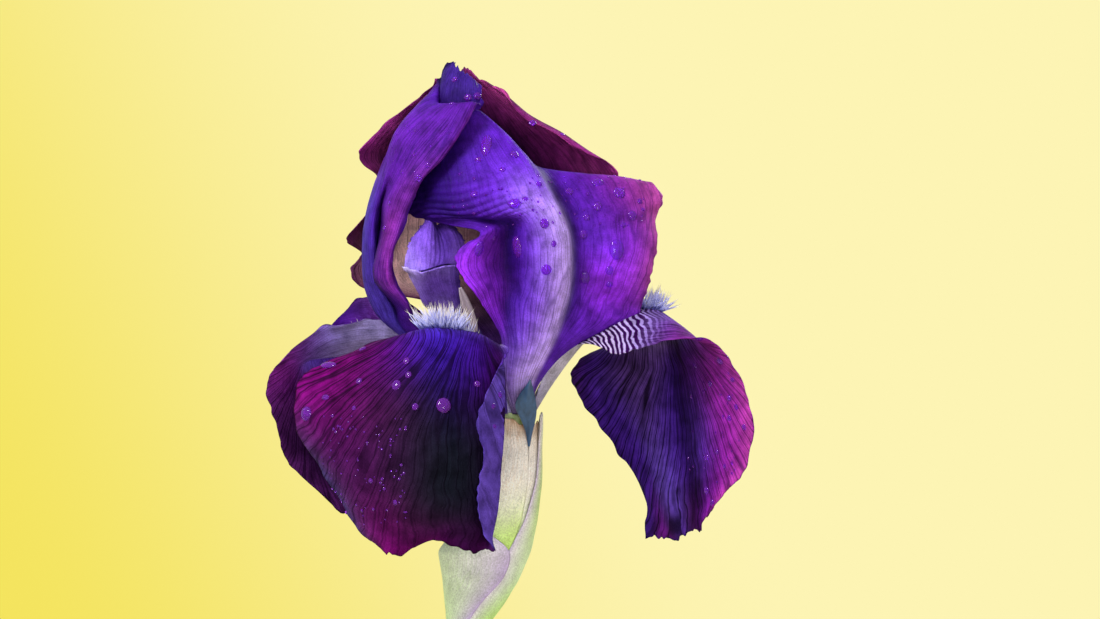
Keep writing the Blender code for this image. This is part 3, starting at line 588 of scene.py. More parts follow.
def flesh_thickness(grid, middle, margin):
    """Thickest along the midrib and at the base, thinning to the margins."""
    rows, columns = grid.shape[:2]
    v, s = np.linspace(0, 1, rows)[:, None], np.linspace(-1, 1, columns)[None, :]
    return margin + (middle - margin) * (1 - np.abs(s) ** 1.5) * (1 - 0.5 * v)


# Some fall letters are painted light. On the right fall's underside, the near-black 'k' and dark 'd' along the midrib
# are painted shade in its crease; 'k' is also the veins' colour. The magenta 'f', 'F' and 'r' of its near half are
# partly its own colour and partly painted glow of light shining through. On the left fall, 'F' and 'f' at the top of
# the blade are a painted highlight.
FALL_TONES = {
    "c": "#D8D0FF", "w": "#D2BEF0", "a": "#E0D8EE", "n": "#30064A", "k": "#08020E", "B": "#3E2ACC", "b": "#220F8C",
    "p": "#38108A", "q": "#220650", "m": "#6E0668", "M": "#54044E", "g": "#44064A", "d": "#28043A", "x": "#100418",
    "t": "#10141E", "u": "#402E88", "U": "#6448B4", "s": "#38305E", "v": "#4A22A0", "V": "#5C34B4", "e": "#3A1878",
    "f": "#7C1C98", "F": "#9828A4", "G": "#601888", "y": "#9387C6", "Y": "#5E3E88", "z": "#1C0A28", "Z": "#2E0E3A",
    "o": "#481A54", "r": "#B840A8",
}
front_velvet = plant_skin("velvet_fall_front", 44.0, 1.6, 55.0, 0.6, 0.06, 0.05, 0.16)
right_silk = plant_skin("silk_fall_right", 48.0, 1.8, 58.0, 0.55, 0.15, 0.30, 0.14)
left_velvet = plant_skin("velvet_fall_left", 44.0, 1.8, 55.0, 0.6, 0.0, 0.10, 0.14)

FALL_RING, STANDARD_RING = 4.9, 4.5
fall_front_net = np.array([
    ring_row((-72, -22), 7, FALL_RING),
    [(-13, -8, 13.5), (-11.5, -10, 11), (-8.5, -12, 9.5), (-6, -13, 11), (-5.2, -13.2, 12), (-4.5, -13, 13),
     (-4, -12.5, 14.5)],
    [(-25, -17, 20), (-21, -21, 19), (-15, -25, 18.5), (-9.5, -26, 18.5), (-7.5, -26, 18.4), (-5.5, -25.5, 18),
     (-4.5, -24, 19)],
    [(-38, -24, 19.5), (-30, -31, 22.5), (-22, -35, 24.5), (-12.5, -36, 23), (-8.5, -35.6, 21.5), (-5, -34, 19),
     (-2.5, -32, 17)],
    [(-50.5, -27, 15.4), (-40, -36, 13), (-25, -43, 13), (-13, -41.5, 12), (-7, -39.5, 12), (-2.5, -35, 11),
     (-6, -40, 11.5)],
    [(-59.2, -27, 8), (-47, -39, 1), (-26, -48, 0), (-14, -45, 0), (-7.5, -42.5, 0), (-2.5, -38.5, -1),
     (-10.5, -46, -1)],
    [(-57, -29, -6), (-46, -40, -12), (-27, -49.5, -12), (-14, -45.5, -12), (-8, -43, -13), (-3.5, -39, -13),
     (-8.2, -46, -13)],
    [(-48.6, -33, -18), (-39.5, -41, -24), (-27.5, -48, -24), (-16, -45, -25), (-9.5, -43, -25), (-4.2, -39.5, -24),
     (-11, -45.5, -23)],
    [(-41.6, -35.5, -30), (-35.5, -39, -34.5), (-30.5, -43, -36.4), (-21, -43.5, -31.4), (-12.5, -42.5, -35.6),
     (-7, -39.5, -34.6), (-6.4, -43, -34.4)],
])
grid = petal_grid(fall_front_net, 190, 160, 21, 0.8, 0.10, 0.5, 34, 0.025)
fall_front_grid = grid
sheet_piece(
    "fall_front_velvet", grid, flesh_thickness(grid, 0.7, 0.3), -1,
    FALL_TONES, (
        "ccccccc", "ccccccc", "wwwwwww", "MqBppqV", "MMbpqgV", "mMtqdxu", "mgttxxu", "sgttxxu", "sMttxxu", "smMgxgu",
    ),
    ("uUuUuUuUuUu", "UuUuUuUuUuU") * 5,
    ("nnnn", "nnnn", "nnnn", "xkkk", "xkkk", "xkkk", "kkkk", "kkkk"),
    ((1, 1, 1), (1, 1, 1), (0.9, 0.8, 0.7), (0.75, 0.45, 0.35), (0.55, 0.35, 0.25)), (0.27, 0.34),
    front_velvet, ["fall_front"], fan=0.375,
)
fall_right_net = np.array([
    ring_row((112, 62), 6, FALL_RING),
    [(8, 6, 13), (9, 4, 10), (9.5, 1.5, 9), (9.5, -0.5, 9), (9, -2.5, 10.5), (8, -4, 13.5)],
    [(17, 13, 20), (18, 9, 20.5), (18, 4, 20), (18, 0, 20), (17.5, -4, 20.5), (16.5, -8, 19.5)],
    [(26, 20, 22), (27, 13, 26), (27.5, 5, 27), (27.5, 0, 27), (27, -7, 25), (26, -13, 16.5)],
    [(31, 28, 18), (35, 18, 25), (37, 8, 28), (38, 2, 28.5), (37, -7, 25.5), (34.5, -12, 17.5)],
    [(22, 33, 17), (31, 24, 20), (40, 15, 21), (43, 10, 23), (45, -2, 24), (44, -9, 20.5)],
    [(13.5, 33, 12), (26, 27, 12), (38.5, 20, 12), (44, 15, 13), (51.5, 2, 15), (57, -7, 16)],
    [(17.5, 33, 2), (28, 28, 1), (39, 21, 1), (45.5, 16, 2), (53.5, 3, 2), (62.6, -8, 4)],
    [(28, 31, -11), (34, 26, -11), (41, 20, -11), (47, 15, -10), (54.5, 4, -10), (62.6, -5, -11)],
    [(34.5, 27, -24), (38, 22, -24), (43, 17, -24), (48.5, 13, -22), (53, 6, -20), (57.5, 0, -20.5)],
    [(36.5, 22, -34.5), (40, 18, -34.5), (44.5, 15, -34), (49, 12, -32), (50.5, 9, -29.5), (52.5, 6, -26)],
])
grid = petal_grid(fall_right_net, 200, 150, 31, 1.0, 0.12, 0.55, 34, 0.03)
fall_right_grid = grid
# On the right fall, the near-black 'k' down the middle of the underside, with the dark 'd' beside it, is painted
# shade in the midrib's crease. The magenta 'f', 'F' and 'r' of the near half are partly its own colour and partly
# painted glow of the light shining through it.
sheet_piece(
    "fall_right_silk", grid, flesh_thickness(grid, 0.6, 0.3), 1,
    FALL_TONES,
    ("cccccc", "wwwwww", "wwwwww", "wwwwww", "VVVVUU", "evVGfF", "evvVfF", "evvVfF", "evvVfF", "evvVfF", "evvGfF"),
    (
        "ccccccccccc", "aaaaaaaaaaa", "aaaaaaaaaaa", "aaaaaaaaaaa", "aaaaaaaaUUU", "evdYYokVUff", "ovYYYvkGFFr",
        "evvYVvkVFFr", "evvUVvkVfFr", "evdUUdkdGFr", "eofoVodGfFr",
    ),
    ("nnnn", "nnnn", "nnnn", "nnnn", "kkxd", "kkxd", "kkxd", "kkxd"),
    ((0.5, 0.5, 1), (0.6, 0.6, 1), (0.9, 0.9, 0.8), (0.95, 0.95, 0.7), (0.9, 0.9, 0.7)), (0.36, 0.46),
    right_silk, ["fall_right"], fan=0.5,
)
fall_left_net = np.array([
    ring_row((-122, -170), 5, FALL_RING),
    [(-12, 3, 13), (-12, 5, 10), (-12, 7.5, 9), (-10.5, 9, 10), (-9.5, 10.5, 13)],
    [(-24, 6, 23.5), (-24, 8, 18), (-24, 13, 15), (-23, 18, 19), (-21, 22, 24)],
    [(-38, 6, 25.6), (-38, 9, 20), (-38, 15, 16.5), (-37, 23, 25), (-35, 30, 32)],
    [(-50, 5, 24), (-50, 9, 18), (-50, 16, 15), (-49, 27, 26), (-46, 36, 30.5)],
    [(-60, 4, 19.5), (-59.5, 9, 15), (-59, 18, 14), (-55, 31, 20), (-50, 41, 21)],
    [(-68.3, 8, 9), (-61, 12, 9), (-57, 21, 8.5), (-54, 33, 9), (-50, 44, 7)],
    [(-66, 8, -4), (-59, 12.5, -5), (-56, 22, -5), (-53, 34, -5), (-48, 43, -6)],
    [(-60, 9, -17), (-54, 13, -18), (-52, 22, -18), (-48, 31, -18), (-44, 38, -17)],
    [(-49, 12, -27), (-47, 16, -28), (-45.5, 22, -28), (-42.5, 28, -27), (-40, 33, -25)],
])
grid = petal_grid(fall_left_net, 190, 130, 41, 0.9, 0.12, 0.5, 30, 0.03)
fall_left_grid = grid
# On the left fall, the pink 'F' and 'f' that start the under row "FfUVV" are a painted highlight on the blade's upper
# margin.
sheet_piece(
    "fall_left_velvet", grid, flesh_thickness(grid, 0.6, 0.3), 1,
    FALL_TONES, ("ccccc", "YYYYY", "YYYYY", "YoYoY", "dpdpd", "odddz", "oZzZz", "ZZzzz", "ZZzzz", "ZZzzz"),
    ("ccccc", "aaaaa", "yyyyy", "yyyyy", "yyyyy", "UUUVV", "FfUVV", "oZZZZ", "ZzzZz", "oZzzz", "ooZZZ"),
    ("nnnnn", "nnnnn", "nnnnn", "xkkkk", "xkkkk", "xkkkk"),
    ((0.3, 0.3), (0.4, 0.4), (0.7, 0.7), (0.7, 0.7)), (0.30, 0.42),
    left_velvet, ["fall_left"], fan=0.45,
)

# ---------------------------------------------------------------------------------------------------------
# Style arms. Three petal-like straps that arch over the falls; each ends in two toothed crests above a thin lip,
# the stigma. They are soft violet and a little translucent, paler along the middle.

STYLE_TONES = {
    "L": "#C8B8F0", "v": "#7A50D0", "V": "#9478E0", "d": "#4A2A88", "D": "#33186A", "e": "#5E3C9C", "f": "#24104E",
}
style_silk = plant_skin("silk_style_arm", 20.0, 1.8, 1.0, 0.55, 0.2, 0.18, 0.08)
STYLE_HALVES = (1.2, 3.0, 4.6, 6.6, 8.0, 8.8, 5.6)
STYLE_ARMS = {
    "right": (
        ((5.3, 2.2, 13), (10.5, 4, 24), (15, 6, 33), (17.5, 7.5, 40), (17.5, 9, 47), (16, 10, 53)), 95, (0.3, -0.95),
        62,
    ),
    "left": (
        ((-6.7, 5.3, 13.4), (-13.5, 9.5, 24), (-19, 12.5, 33), (-22, 14, 40), (-22.5, 15.5, 47), (-21.5, 16.5, 53)),
        -140, (-0.55, -0.84), 63,
    ),
}
for side, (middles, azimuth, run, seed) in STYLE_ARMS.items():
    first = ring_row((azimuth, azimuth), 2, 2.1)[0]
    across = np.array((*run, 0.0)) / np.hypot(*run)
    rows = [
        [np.array(middle) + across * half * k - np.array((0, 0, 0.1 * half * k * k)) for k in (-1.0, -0.4, 0.4, 1.0)]
        for middle, half in zip((first, *middles), STYLE_HALVES)
    ]
    grid = petal_grid(np.array(rows), 120, 80, seed, 0.5, 0.08, 0.35, 14, 0.08)
    v, s = np.linspace(0, 1, 120)[:, None], np.linspace(-1, 1, 80)[None, :]
    notch = np.clip((v - 0.66) / 0.34, 0, 1) ** 1.5 * 7.0 * np.exp(-((s / 0.22) ** 2))
    teeth = np.clip((v - 0.8) / 0.2, 0, 1) * 0.5 * np.cos(34 * s) * np.abs(s)
    grid[..., 2] -= notch + teeth
    sheet_piece(
        f"style_arm_{side}_crest", grid, flesh_thickness(grid, 0.7, 0.3), 1,
        STYLE_TONES, ("LLLL", "VLLV", "dVVd", "dvvd", "vVVv", "vvvv", "vddv"),
        None, ["ff", "ff"], ((0.5, 0.5), (0.5, 0.5)), NO_HAFT,
        style_silk, [f"style_arm_{side}"],
    )

# The front arm is seen close to, so its strap, which ends in the stigma's pale lip, and its crest are separate.
strap_net = np.array([
    [(-4.0, -1.6, 0.2), (-3.4, -1.9, 0.2), (-2.8, -2.1, 0.2), (-2.2, -2.4, 0.2), (-1.8, -2.8, 0.2)],
    [(-9.2, -2.6, 12.6), (-7.8, -3.6, 13), (-6.3, -4.6, 13.3), (-4.8, -4.8, 13), (-3.4, -5.0, 12.6)],
    [(-18.4, -9.0, 21), (-16.6, -10.6, 21.6), (-14.4, -11.6, 22), (-12, -11.4, 21.6), (-10, -11.0, 21)],
    [(-24.6, -13.4, 28.5), (-22.4, -15.6, 29.6), (-19.4, -16.8, 30), (-16.4, -16.4, 29.6), (-13.8, -15.4, 29)],
    [(-28.4, -16.0, 35.5), (-25.4, -18.8, 35.8), (-22.0, -19.8, 36.4), (-18.6, -19.4, 36.6), (-15.4, -18.0, 36)],
    [(-30.4, -18.4, 39.8), (-26.2, -21.4, 37.9), (-22.4, -22.0, 38.9), (-18.4, -21.4, 40.2), (-15.4, -20.0, 39.4)],
])
grid = petal_grid(strap_net, 130, 90, 61, 0.4, 0.06, 0.2, 10, 0.05)
sheet_piece(
    "style_arm_front_strap", grid, flesh_thickness(grid, 0.7, 0.3), -1,
    STYLE_TONES, ("LLLLL", "VLLLV", "dVLVd", "edeed", "VedeD", "LVeVv"),
    None, ["ff", "ff"], ((0.4, 0.4), (0.35, 0.35)), NO_HAFT,
    style_silk, ["style_arm_front"],
)
crest_net = np.array([
    [(-30.2, -17.2, 39.6), (-26.6, -19.6, 38.2), (-23.2, -20.0, 39.0), (-19.4, -18.6, 40.2), (-17.2, -19.6, 40.2),
     (-15.4, -18.6, 39.4)],
    [(-29.6, -15.8, 43.8), (-26.4, -18.6, 43.2), (-22.8, -19.2, 43.4), (-19.0, -15.6, 43.4), (-16.2, -18.6, 43.6),
     (-13.6, -16.6, 43.2)],
    [(-28.2, -13.4, 47.6), (-25.8, -16.2, 47.8), (-22.8, -17.0, 47.6), (-20.0, -13.2, 46.8), (-17.0, -16.4, 47.6),
     (-14.2, -14.6, 46.8)],
    [(-25.6, -11.6, 50.6), (-24.4, -13.2, 51.6), (-22.9, -14.2, 51.2), (-21.4, -11.2, 49.4), (-18.8, -13.8, 51.0),
     (-16.2, -12.6, 49.6)],
    [(-24.4, -11.0, 53.0), (-23.6, -11.9, 53.4), (-22.8, -12.3, 52.4), (-21.6, -10.6, 50.4), (-19.4, -12.2, 52.0),
     (-17.8, -11.8, 51.0)],
])
grid = petal_grid(crest_net, 110, 110, 66, 0.3, 0.08, 0.45, 16, 0.07)
sheet_piece(
    "style_arm_front_crest", grid, flesh_thickness(grid, 0.6, 0.3), -1,
    STYLE_TONES, ("VVvDee", "VvvDee", "vvvDde", "vvdDdd", "vvdDdd"),
    None, ["ff", "ff"], ((0.3, 0.3), (0.3, 0.3)), NO_HAFT,
    style_silk, ["style_arm_front"],
)

# ---------------------------------------------------------------------------------------------------------
# Stamens. Under each style arm, a pale thread carries a long anther of two pollen lobes, dull cream with a
# mauve cast, split by a groove.

# Pollen is a matt powder; its grain is drawn 0.4 mm wide, coarser than real, so that it shows.
anther_skin, tree, skin = new_material("pollen_anther")
where = add(tree, "TexCoord")
pollen = add(tree, "TexNoise", {"Vector": where.outputs["Object"], "Scale": 2600.0, "Detail": 2.0})
pollen_tone = add(tree, "Mix", {0: pollen.outputs["Fac"], 6: rgba("#74647A"), 7: rgba("#A898A0")}, data_type="RGBA")
tree.links.new(pollen_tone.outputs[2], skin.inputs["Base Color"])
skin.inputs["Roughness"].default_value = 0.8
pollen_bump = add(tree, "Bump", {"Height": pollen.outputs["Fac"], "Strength": 0.7, "Distance": 0.0002})
tree.links.new(pollen_bump.outputs[0], skin.inputs["Normal"])
STAMENS = {
    "front": (((-3.44, -2.22, 0.2), (-7.0, -7.9, 10.3), (-10.8, -15.3, 21.6)),
              ((-11.1, -16.0, 22.3), (-15.2, -20.9, 34))),
    "right": (((2.65, 0.1, 0.2), (7.6, 1.6, 10.4), (12.2, 2.6, 20)), ((12.4, 2.8, 20.5), (18.6, 5.2, 31))),
    "left": (((-2.78, 2.83, 0.2), (-9.4, 7.0, 11.8), (-16.4, 10.6, 20.2)), ((-16.6, 10.8, 20.7), (-23.5, 14.2, 31))),
}
for side, (thread, (low, high)) in STAMENS.items():
    t = np.linspace(0, 1, 40)
    line = basis(3, 40) @ np.array(thread)
    points, faces = swept(line, 0.6 - 0.2 * t, 16)
    piece_from(f"stamen_thread_{side}", place(points), faces, anther_skin, [f"filament_{side}"])
    low, high = np.array(low), np.array(high)
    along = (high - low) / np.linalg.norm(high - low)
    wide = np.cross(along, (0, 1, 0))
    wide /= np.linalg.norm(wide)
    deep = np.cross(along, wide)
    a = np.linspace(0, 2 * np.pi, 32, endpoint=False)
    width = np.sin(np.pi * np.clip(t, 0.02, 0.98)) ** 0.35 * 1.5 * (1 - 0.25 * t)
    lobes = 1 - 0.8 * np.exp(-((np.cos(a) / 0.28) ** 2))
    ring = (
        low + (high - low) * t[:, None, None]
        + wide * (width[:, None] * np.cos(a))[..., None]
        + deep * (0.6 * width[:, None] * np.sin(a) * lobes)[..., None]
    )
    points, faces = capped(ring, low, high)
    piece_from(f"anther_{side}_lobes", place(points), faces, anther_skin, [f"anther_{side}"])

# ---------------------------------------------------------------------------------------------------------
# Beards. A strip of stiff hairs up the midrib of each fall's haft, fanning out at the hinge: 3 to 7 mm long and
# 0.15 mm thick, white to pale blue with yellow tips.

# Beard hairs are thin glassy cells, IOR 1.5, that a part of the light passes through.
hair, tree, skin = new_material("beard_hair")
hair_tint = add(tree, "Attribute", attribute_name="hair")
fill(tree, skin, {"Base Color": hair_tint.outputs["Color"], "Roughness": 0.5, "IOR": 1.5})
hair_glow = add(tree, "BsdfTranslucent", {"Color": hair_tint.outputs["Color"]})
hair_both = add(tree, "MixShader", {0: 0.35, 1: skin.outputs[0], 2: hair_glow.outputs[0]})
fill(tree, tree.nodes["Material Output"], {"Surface": hair_both.outputs[0]})
HAIR_STAGES = np.array([0.0, 0.35, 0.7, 1.0])


def bristles(roots, directions, lengths, bend, radius):
    """Many thin cones at once. Hair k runs from its root along its direction, and bends towards `bend` by the
    square of the way along; its three-sided section shrinks to nothing at the tip."""
    count = len(roots)
    t = HAIR_STAGES[:, None]
    reach = lengths[:, None, None]
    line = roots[:, None] + directions[:, None] * (reach * t) + bend[:, None] * (reach * t**2)
    side = unit(np.cross(directions, (0.3, 0.2, 0.93)))
    other = np.cross(directions, side)
    a = np.array([0, 2, 4]) * np.pi / 3
    r = radius * np.array([1.0, 0.9, 0.65])[None, :, None, None]
    turn = side[:, None, None] * np.cos(a)[:, None] + other[:, None, None] * np.sin(a)[:, None]
    rings = line[:, :3, None] + turn * r
    points = np.concatenate([rings.reshape(count, 9, 3), line[:, 3:4]], 1)
    sides = []
    for row in (0, 3):
        for k in range(3):
            a0, b0 = row + k, row + (k + 1) % 3
            sides += [(a0, b0, b0 + 3), (a0, b0 + 3, a0 + 3)]
    sides += [(6, 7, 9), (7, 8, 9), (8, 6, 9), (0, 2, 1)]
    faces = (np.array(sides)[None] + 10 * np.arange(count)[:, None, None]).reshape(-1, 3)
    stage = np.tile(np.concatenate([np.repeat(HAIR_STAGES[:3], 3), [1.0]]), count)
    return points.reshape(-1, 3), faces, stage


BEARDS = {
    "front": (fall_front_grid, -1, 0.345, 0.20, 0.375, 0.11, 71, 620),
    "right": (fall_right_grid, 1, 0.52, 0.16, 0.42, 0.12, 72, 380),
    "left": (fall_left_grid, 1, 0.50, 0.16, 0.40, 0.12, 73, 320),
}
for side, (grid, facing, centre, start, stop, half, seed, count) in BEARDS.items():
    rng = np.random.default_rng(seed)
    rows, columns = grid.shape[:2]
    v = start + (stop - start) * rng.uniform(0, 1, count) ** 0.6
    u = centre + half * np.clip(rng.normal(0, 0.5, count), -0.85, 0.85) * (0.35 + 0.65 * (v - start) / (stop - start))
    i, j = (v * (rows - 1)).astype(int), (np.clip(u, 0.05, 0.95) * (columns - 1)).astype(int)
    n = normals_of(grid) * facing
    onward = np.gradient(grid, axis=0)
    onward /= np.linalg.norm(onward, axis=2, keepdims=True)
    sideways = np.gradient(grid, axis=1)
    sideways /= np.linalg.norm(sideways, axis=2, keepdims=True)
    lean = rng.normal(0, 0.25, (count, 3))
    fan = ((u - centre) / half)[:, None] * 0.55
    direction = n[i, j] + onward[i, j] * rng.uniform(0.1, 0.9, (count, 1)) + sideways[i, j] * fan + lean
    direction /= np.linalg.norm(direction, axis=1)[:, None]
    length = rng.uniform(3.8, 6.8, count)
    bend = rng.normal(0, 0.12, (count, 3)) + np.array((0, 0, 0.12))
    points, faces, stage = bristles(grid[i, j], direction, length, bend, 0.2)
    root, middle, tip = (linear(c) for c in ("#8E8CF6", "#D2D4FF", "#F2E2B0"))
    low = np.clip(stage / 0.35, 0, 1)[:, None]
    high = np.clip((stage - 0.72) / 0.28, 0, 1)[:, None]
    tint = (root * (1 - low) + middle * low) * (1 - high) + tip * high
    piece_from(
        f"beard_{side}_hairs", place(points), faces, hair, [f"beard_{side}"],
        attributes={"hair": tint},
    )

# ---------------------------------------------------------------------------------------------------------
# Standards. The three inner petals, which stand up and fold over each other into a dome: the front one has a pale
# lavender midrib and a crumpled inrolled flap, the left one a folded blade, the back one a maroon ruffled rim.

# Some standard letters are painted light: the near-black 'k' and dark 'D' and 'n' stand for shade in creases, folds
# and inside the dome, and for the shadow the left standard casts on the front one ('D' and 'n' are also vein
# colours); the pale 't' and tan 'T' stand for light showing through the back standard; the pink 'M' and 'm' are a
# painted highlight on the back standard's maroon rim, and 'P' one on the left standard's twisted strip.
STANDARD_TONES = {
    "L": "#CCAEFF", "l": "#A67CF4", "V": "#8652DC", "v": "#5E26BC", "w": "#5C1EBC", "e": "#4E1AA2", "d": "#28106A",
    "D": "#1E0654", "k": "#08030F", "f": "#561A96", "F": "#6A2694", "p": "#B0489C", "P": "#8A2C94", "b": "#44309C",
    "c": "#3A2080", "g": "#8A7CA8", "h": "#22042A", "H": "#662A5C", "m": "#9C2E8C", "M": "#C4489C", "t": "#FFDACA",
    "T": "#C8909C", "n": "#14041C", "q": "#9A32F4",
}
standard_silk = plant_skin("silk_standard_front", 30.0, 3.0, 1.0, 0.5, 0.2, 0.14, 0.10)
left_silk = plant_skin("silk_standard_left", 30.0, 3.0, 1.0, 0.5, 0.2, 0.14, 0.10)
back_silk = plant_skin("silk_standard_back", 34.0, 2.6, 1.0, 0.55, 0.2, 0.28, 0.14)
standard_front_net = np.array([
    ring_row((-8, 48), 12, STANDARD_RING),
    [(-4.5, -8.5, 10), (-4, -9.5, 9.6), (-3, -10, 9.3), (-1.8, -10.4, 9), (-0.2, -10.6, 9), (1.6, -10.5, 9),
     (3.6, -9.8, 9), (4.4, -8.4, 9), (4.8, -7.6, 9), (5.2, -7, 9), (5.6, -6.4, 9.2), (6, -5.8, 9.4)],
    [(-4, -13.5, 20), (-3.2, -14.5, 19.6), (-2, -15, 19.3), (-0.2, -15.6, 19), (2.4, -16, 19), (5.2, -15.8, 19),
     (9, -14.4, 19.5), (9.8, -12.4, 19.2), (10.4, -11, 18.8), (11.5, -10, 18.4), (12.8, -9, 18.2), (14.5, -8, 18.2)],
    [(-8, -18, 27), (-6.5, -18.5, 28), (-4, -16, 28.5), (-2, -16, 28.5), (3, -19.5, 29), (7.5, -19.5, 29.5),
     (12.2, -17, 29.5), (13.2, -13.5, 28.5), (14.5, -11.5, 26.5), (19, -10, 24.6), (25, -8, 24.8), (31, -5.5, 26)],
    [(-12, -25, 34), (-9, -23, 34.5), (-4, -16.5, 34), (-1, -16.5, 34), (4, -21.5, 34.5), (9, -21.5, 35),
     (13.4, -18.5, 35), (14.4, -14, 34.5), (16.5, -9.5, 33), (21, -7.5, 31.5), (27, -5.5, 30), (34, -2.5, 29.5)],
    [(-16.5, -27, 39.5), (-12, -25.5, 40), (-5, -17, 40), (-1, -17, 40), (4.5, -23.5, 40), (9.5, -23, 40.5),
     (13.8, -19.5, 40.5), (14.8, -14.5, 40), (17, -11, 39), (23, -12, 38), (30, -9, 37), (36, -5, 36)],
    [(-15, -26, 44.5), (-10, -25, 45.5), (-4.5, -18, 46), (-1, -18.5, 46.5), (4, -24.5, 47), (9, -24, 47.5),
     (13.2, -20, 48), (14.4, -14.5, 47.5), (17, -11.5, 46.5), (25, -12, 45), (32, -8.5, 44), (37, -4, 44)],
    [(-9, -24, 49), (-6.5, -23.5, 50.5), (-3.5, -20, 51), (-0.5, -21, 52), (3, -24.5, 52.5), (7, -23.5, 53.5),
     (11.2, -20, 54), (12.6, -14.5, 53.5), (16, -11, 53), (25, -11, 52), (33, -7, 51.5), (38, -2.5, 52)],
    [(-30, -10, 53), (-24, -16, 53.5), (-17, -20.5, 53.5), (-10, -23.5, 53.5), (-2, -24.5, 55.5), (3.5, -23.5, 57.5),
     (8.5, -20, 59), (10, -14, 58.5), (14, -10.5, 58), (24, -9.5, 57.5), (32, -6, 58), (38.3, -1.5, 58)],
    [(-30, -9, 60), (-25, -14, 61), (-19, -18.5, 62), (-12, -21.5, 62.5), (-5, -22, 63), (0, -21.5, 64.5),
     (5, -18.5, 65.5), (6.2, -13, 65), (9, -9.5, 65.4), (19, -7.5, 64.6), (28, -4.5, 64.3), (36, -1, 62)],
    [(-29, -6, 67), (-25, -10, 68), (-20, -14, 69), (-14, -17, 70), (-9, -18, 70.5), (-4.5, -17.5, 71.5),
     (0.3, -15.5, 72), (0.8, -12, 69.5), (4, -7, 66.4), (14, -3.5, 64.4), (24, 0.5, 63.4), (32, 3, 61)],
    [(-22, -3, 78), (-20, -6, 79), (-17.5, -8, 80), (-15, -9.5, 80.5), (-13, -10.3, 81), (-11.5, -10.6, 81.5),
     (-10, -10.5, 82), (-9.6, -8.5, 80), (-7, -5, 74), (0, 0, 66), (12, 4, 62), (26, 7, 59)],
])
grid = petal_grid(standard_front_net, 220, 200, 81, 0.9, 0.20, 0.4, 40, 0.02)
# Wrinkles 0.3 mm deep follow the opening's rim, on the half that wraps round the front.
v, s = np.linspace(0, 1, 220)[:, None], np.linspace(0, 1, 200)[None, :]
window = np.exp(-(((v - 0.75) / 0.07) ** 2)) * np.clip((0.52 - s) / 0.2, 0, 1)
wave = np.cos(2 * np.pi * (44 * v + 0.9 * smooth_noise(86, 6, 12, 220, 200)))
grid = grid + normals_of(grid) * (0.3 * window * wave)[..., None]
standard_front_grid = grid
# The front standard's near-black 'k' and dark 'D' are painted shade: down the valley of the inrolled flap, in the
# crease just right of the midrib, along the top edge under the back standard, and at the upper left as the shadow the
# left standard casts. The pale 'L' on the midrib is its own lavender with a painted highlight along the crest.
sheet_piece(
    "standard_front_silk", grid, flesh_thickness(grid, 0.6, 0.3), 1,
    STANDARD_TONES, (
        "gggggLLggggg", "ggllLLLVvvvv", "ewevVlLVwvvw", "qqkdvVLdwwff", "qqfkvlLdvqqF", "qqkDwlLDeqqp",
        "fqkDwlLDevqp", "eeDdwlLDefFp", "kDDevlVkefPp", "kDDewvwkefPp", "kDDdeewkddff", "DDdeeeekkkee",
    ),
    ["eeee"] * 4,
    ("ccc", "DDD", "DDD", "DDD", "DDD"),
    ((0.7, 0.7, 0.7, 0.7), (0.7, 0.5, 0.4, 0.5), (0.4, 0.3, 0.25, 0.5), (0.4, 0.25, 0.25, 0.5)), NO_HAFT,
    standard_silk, ["standard_front"],
)
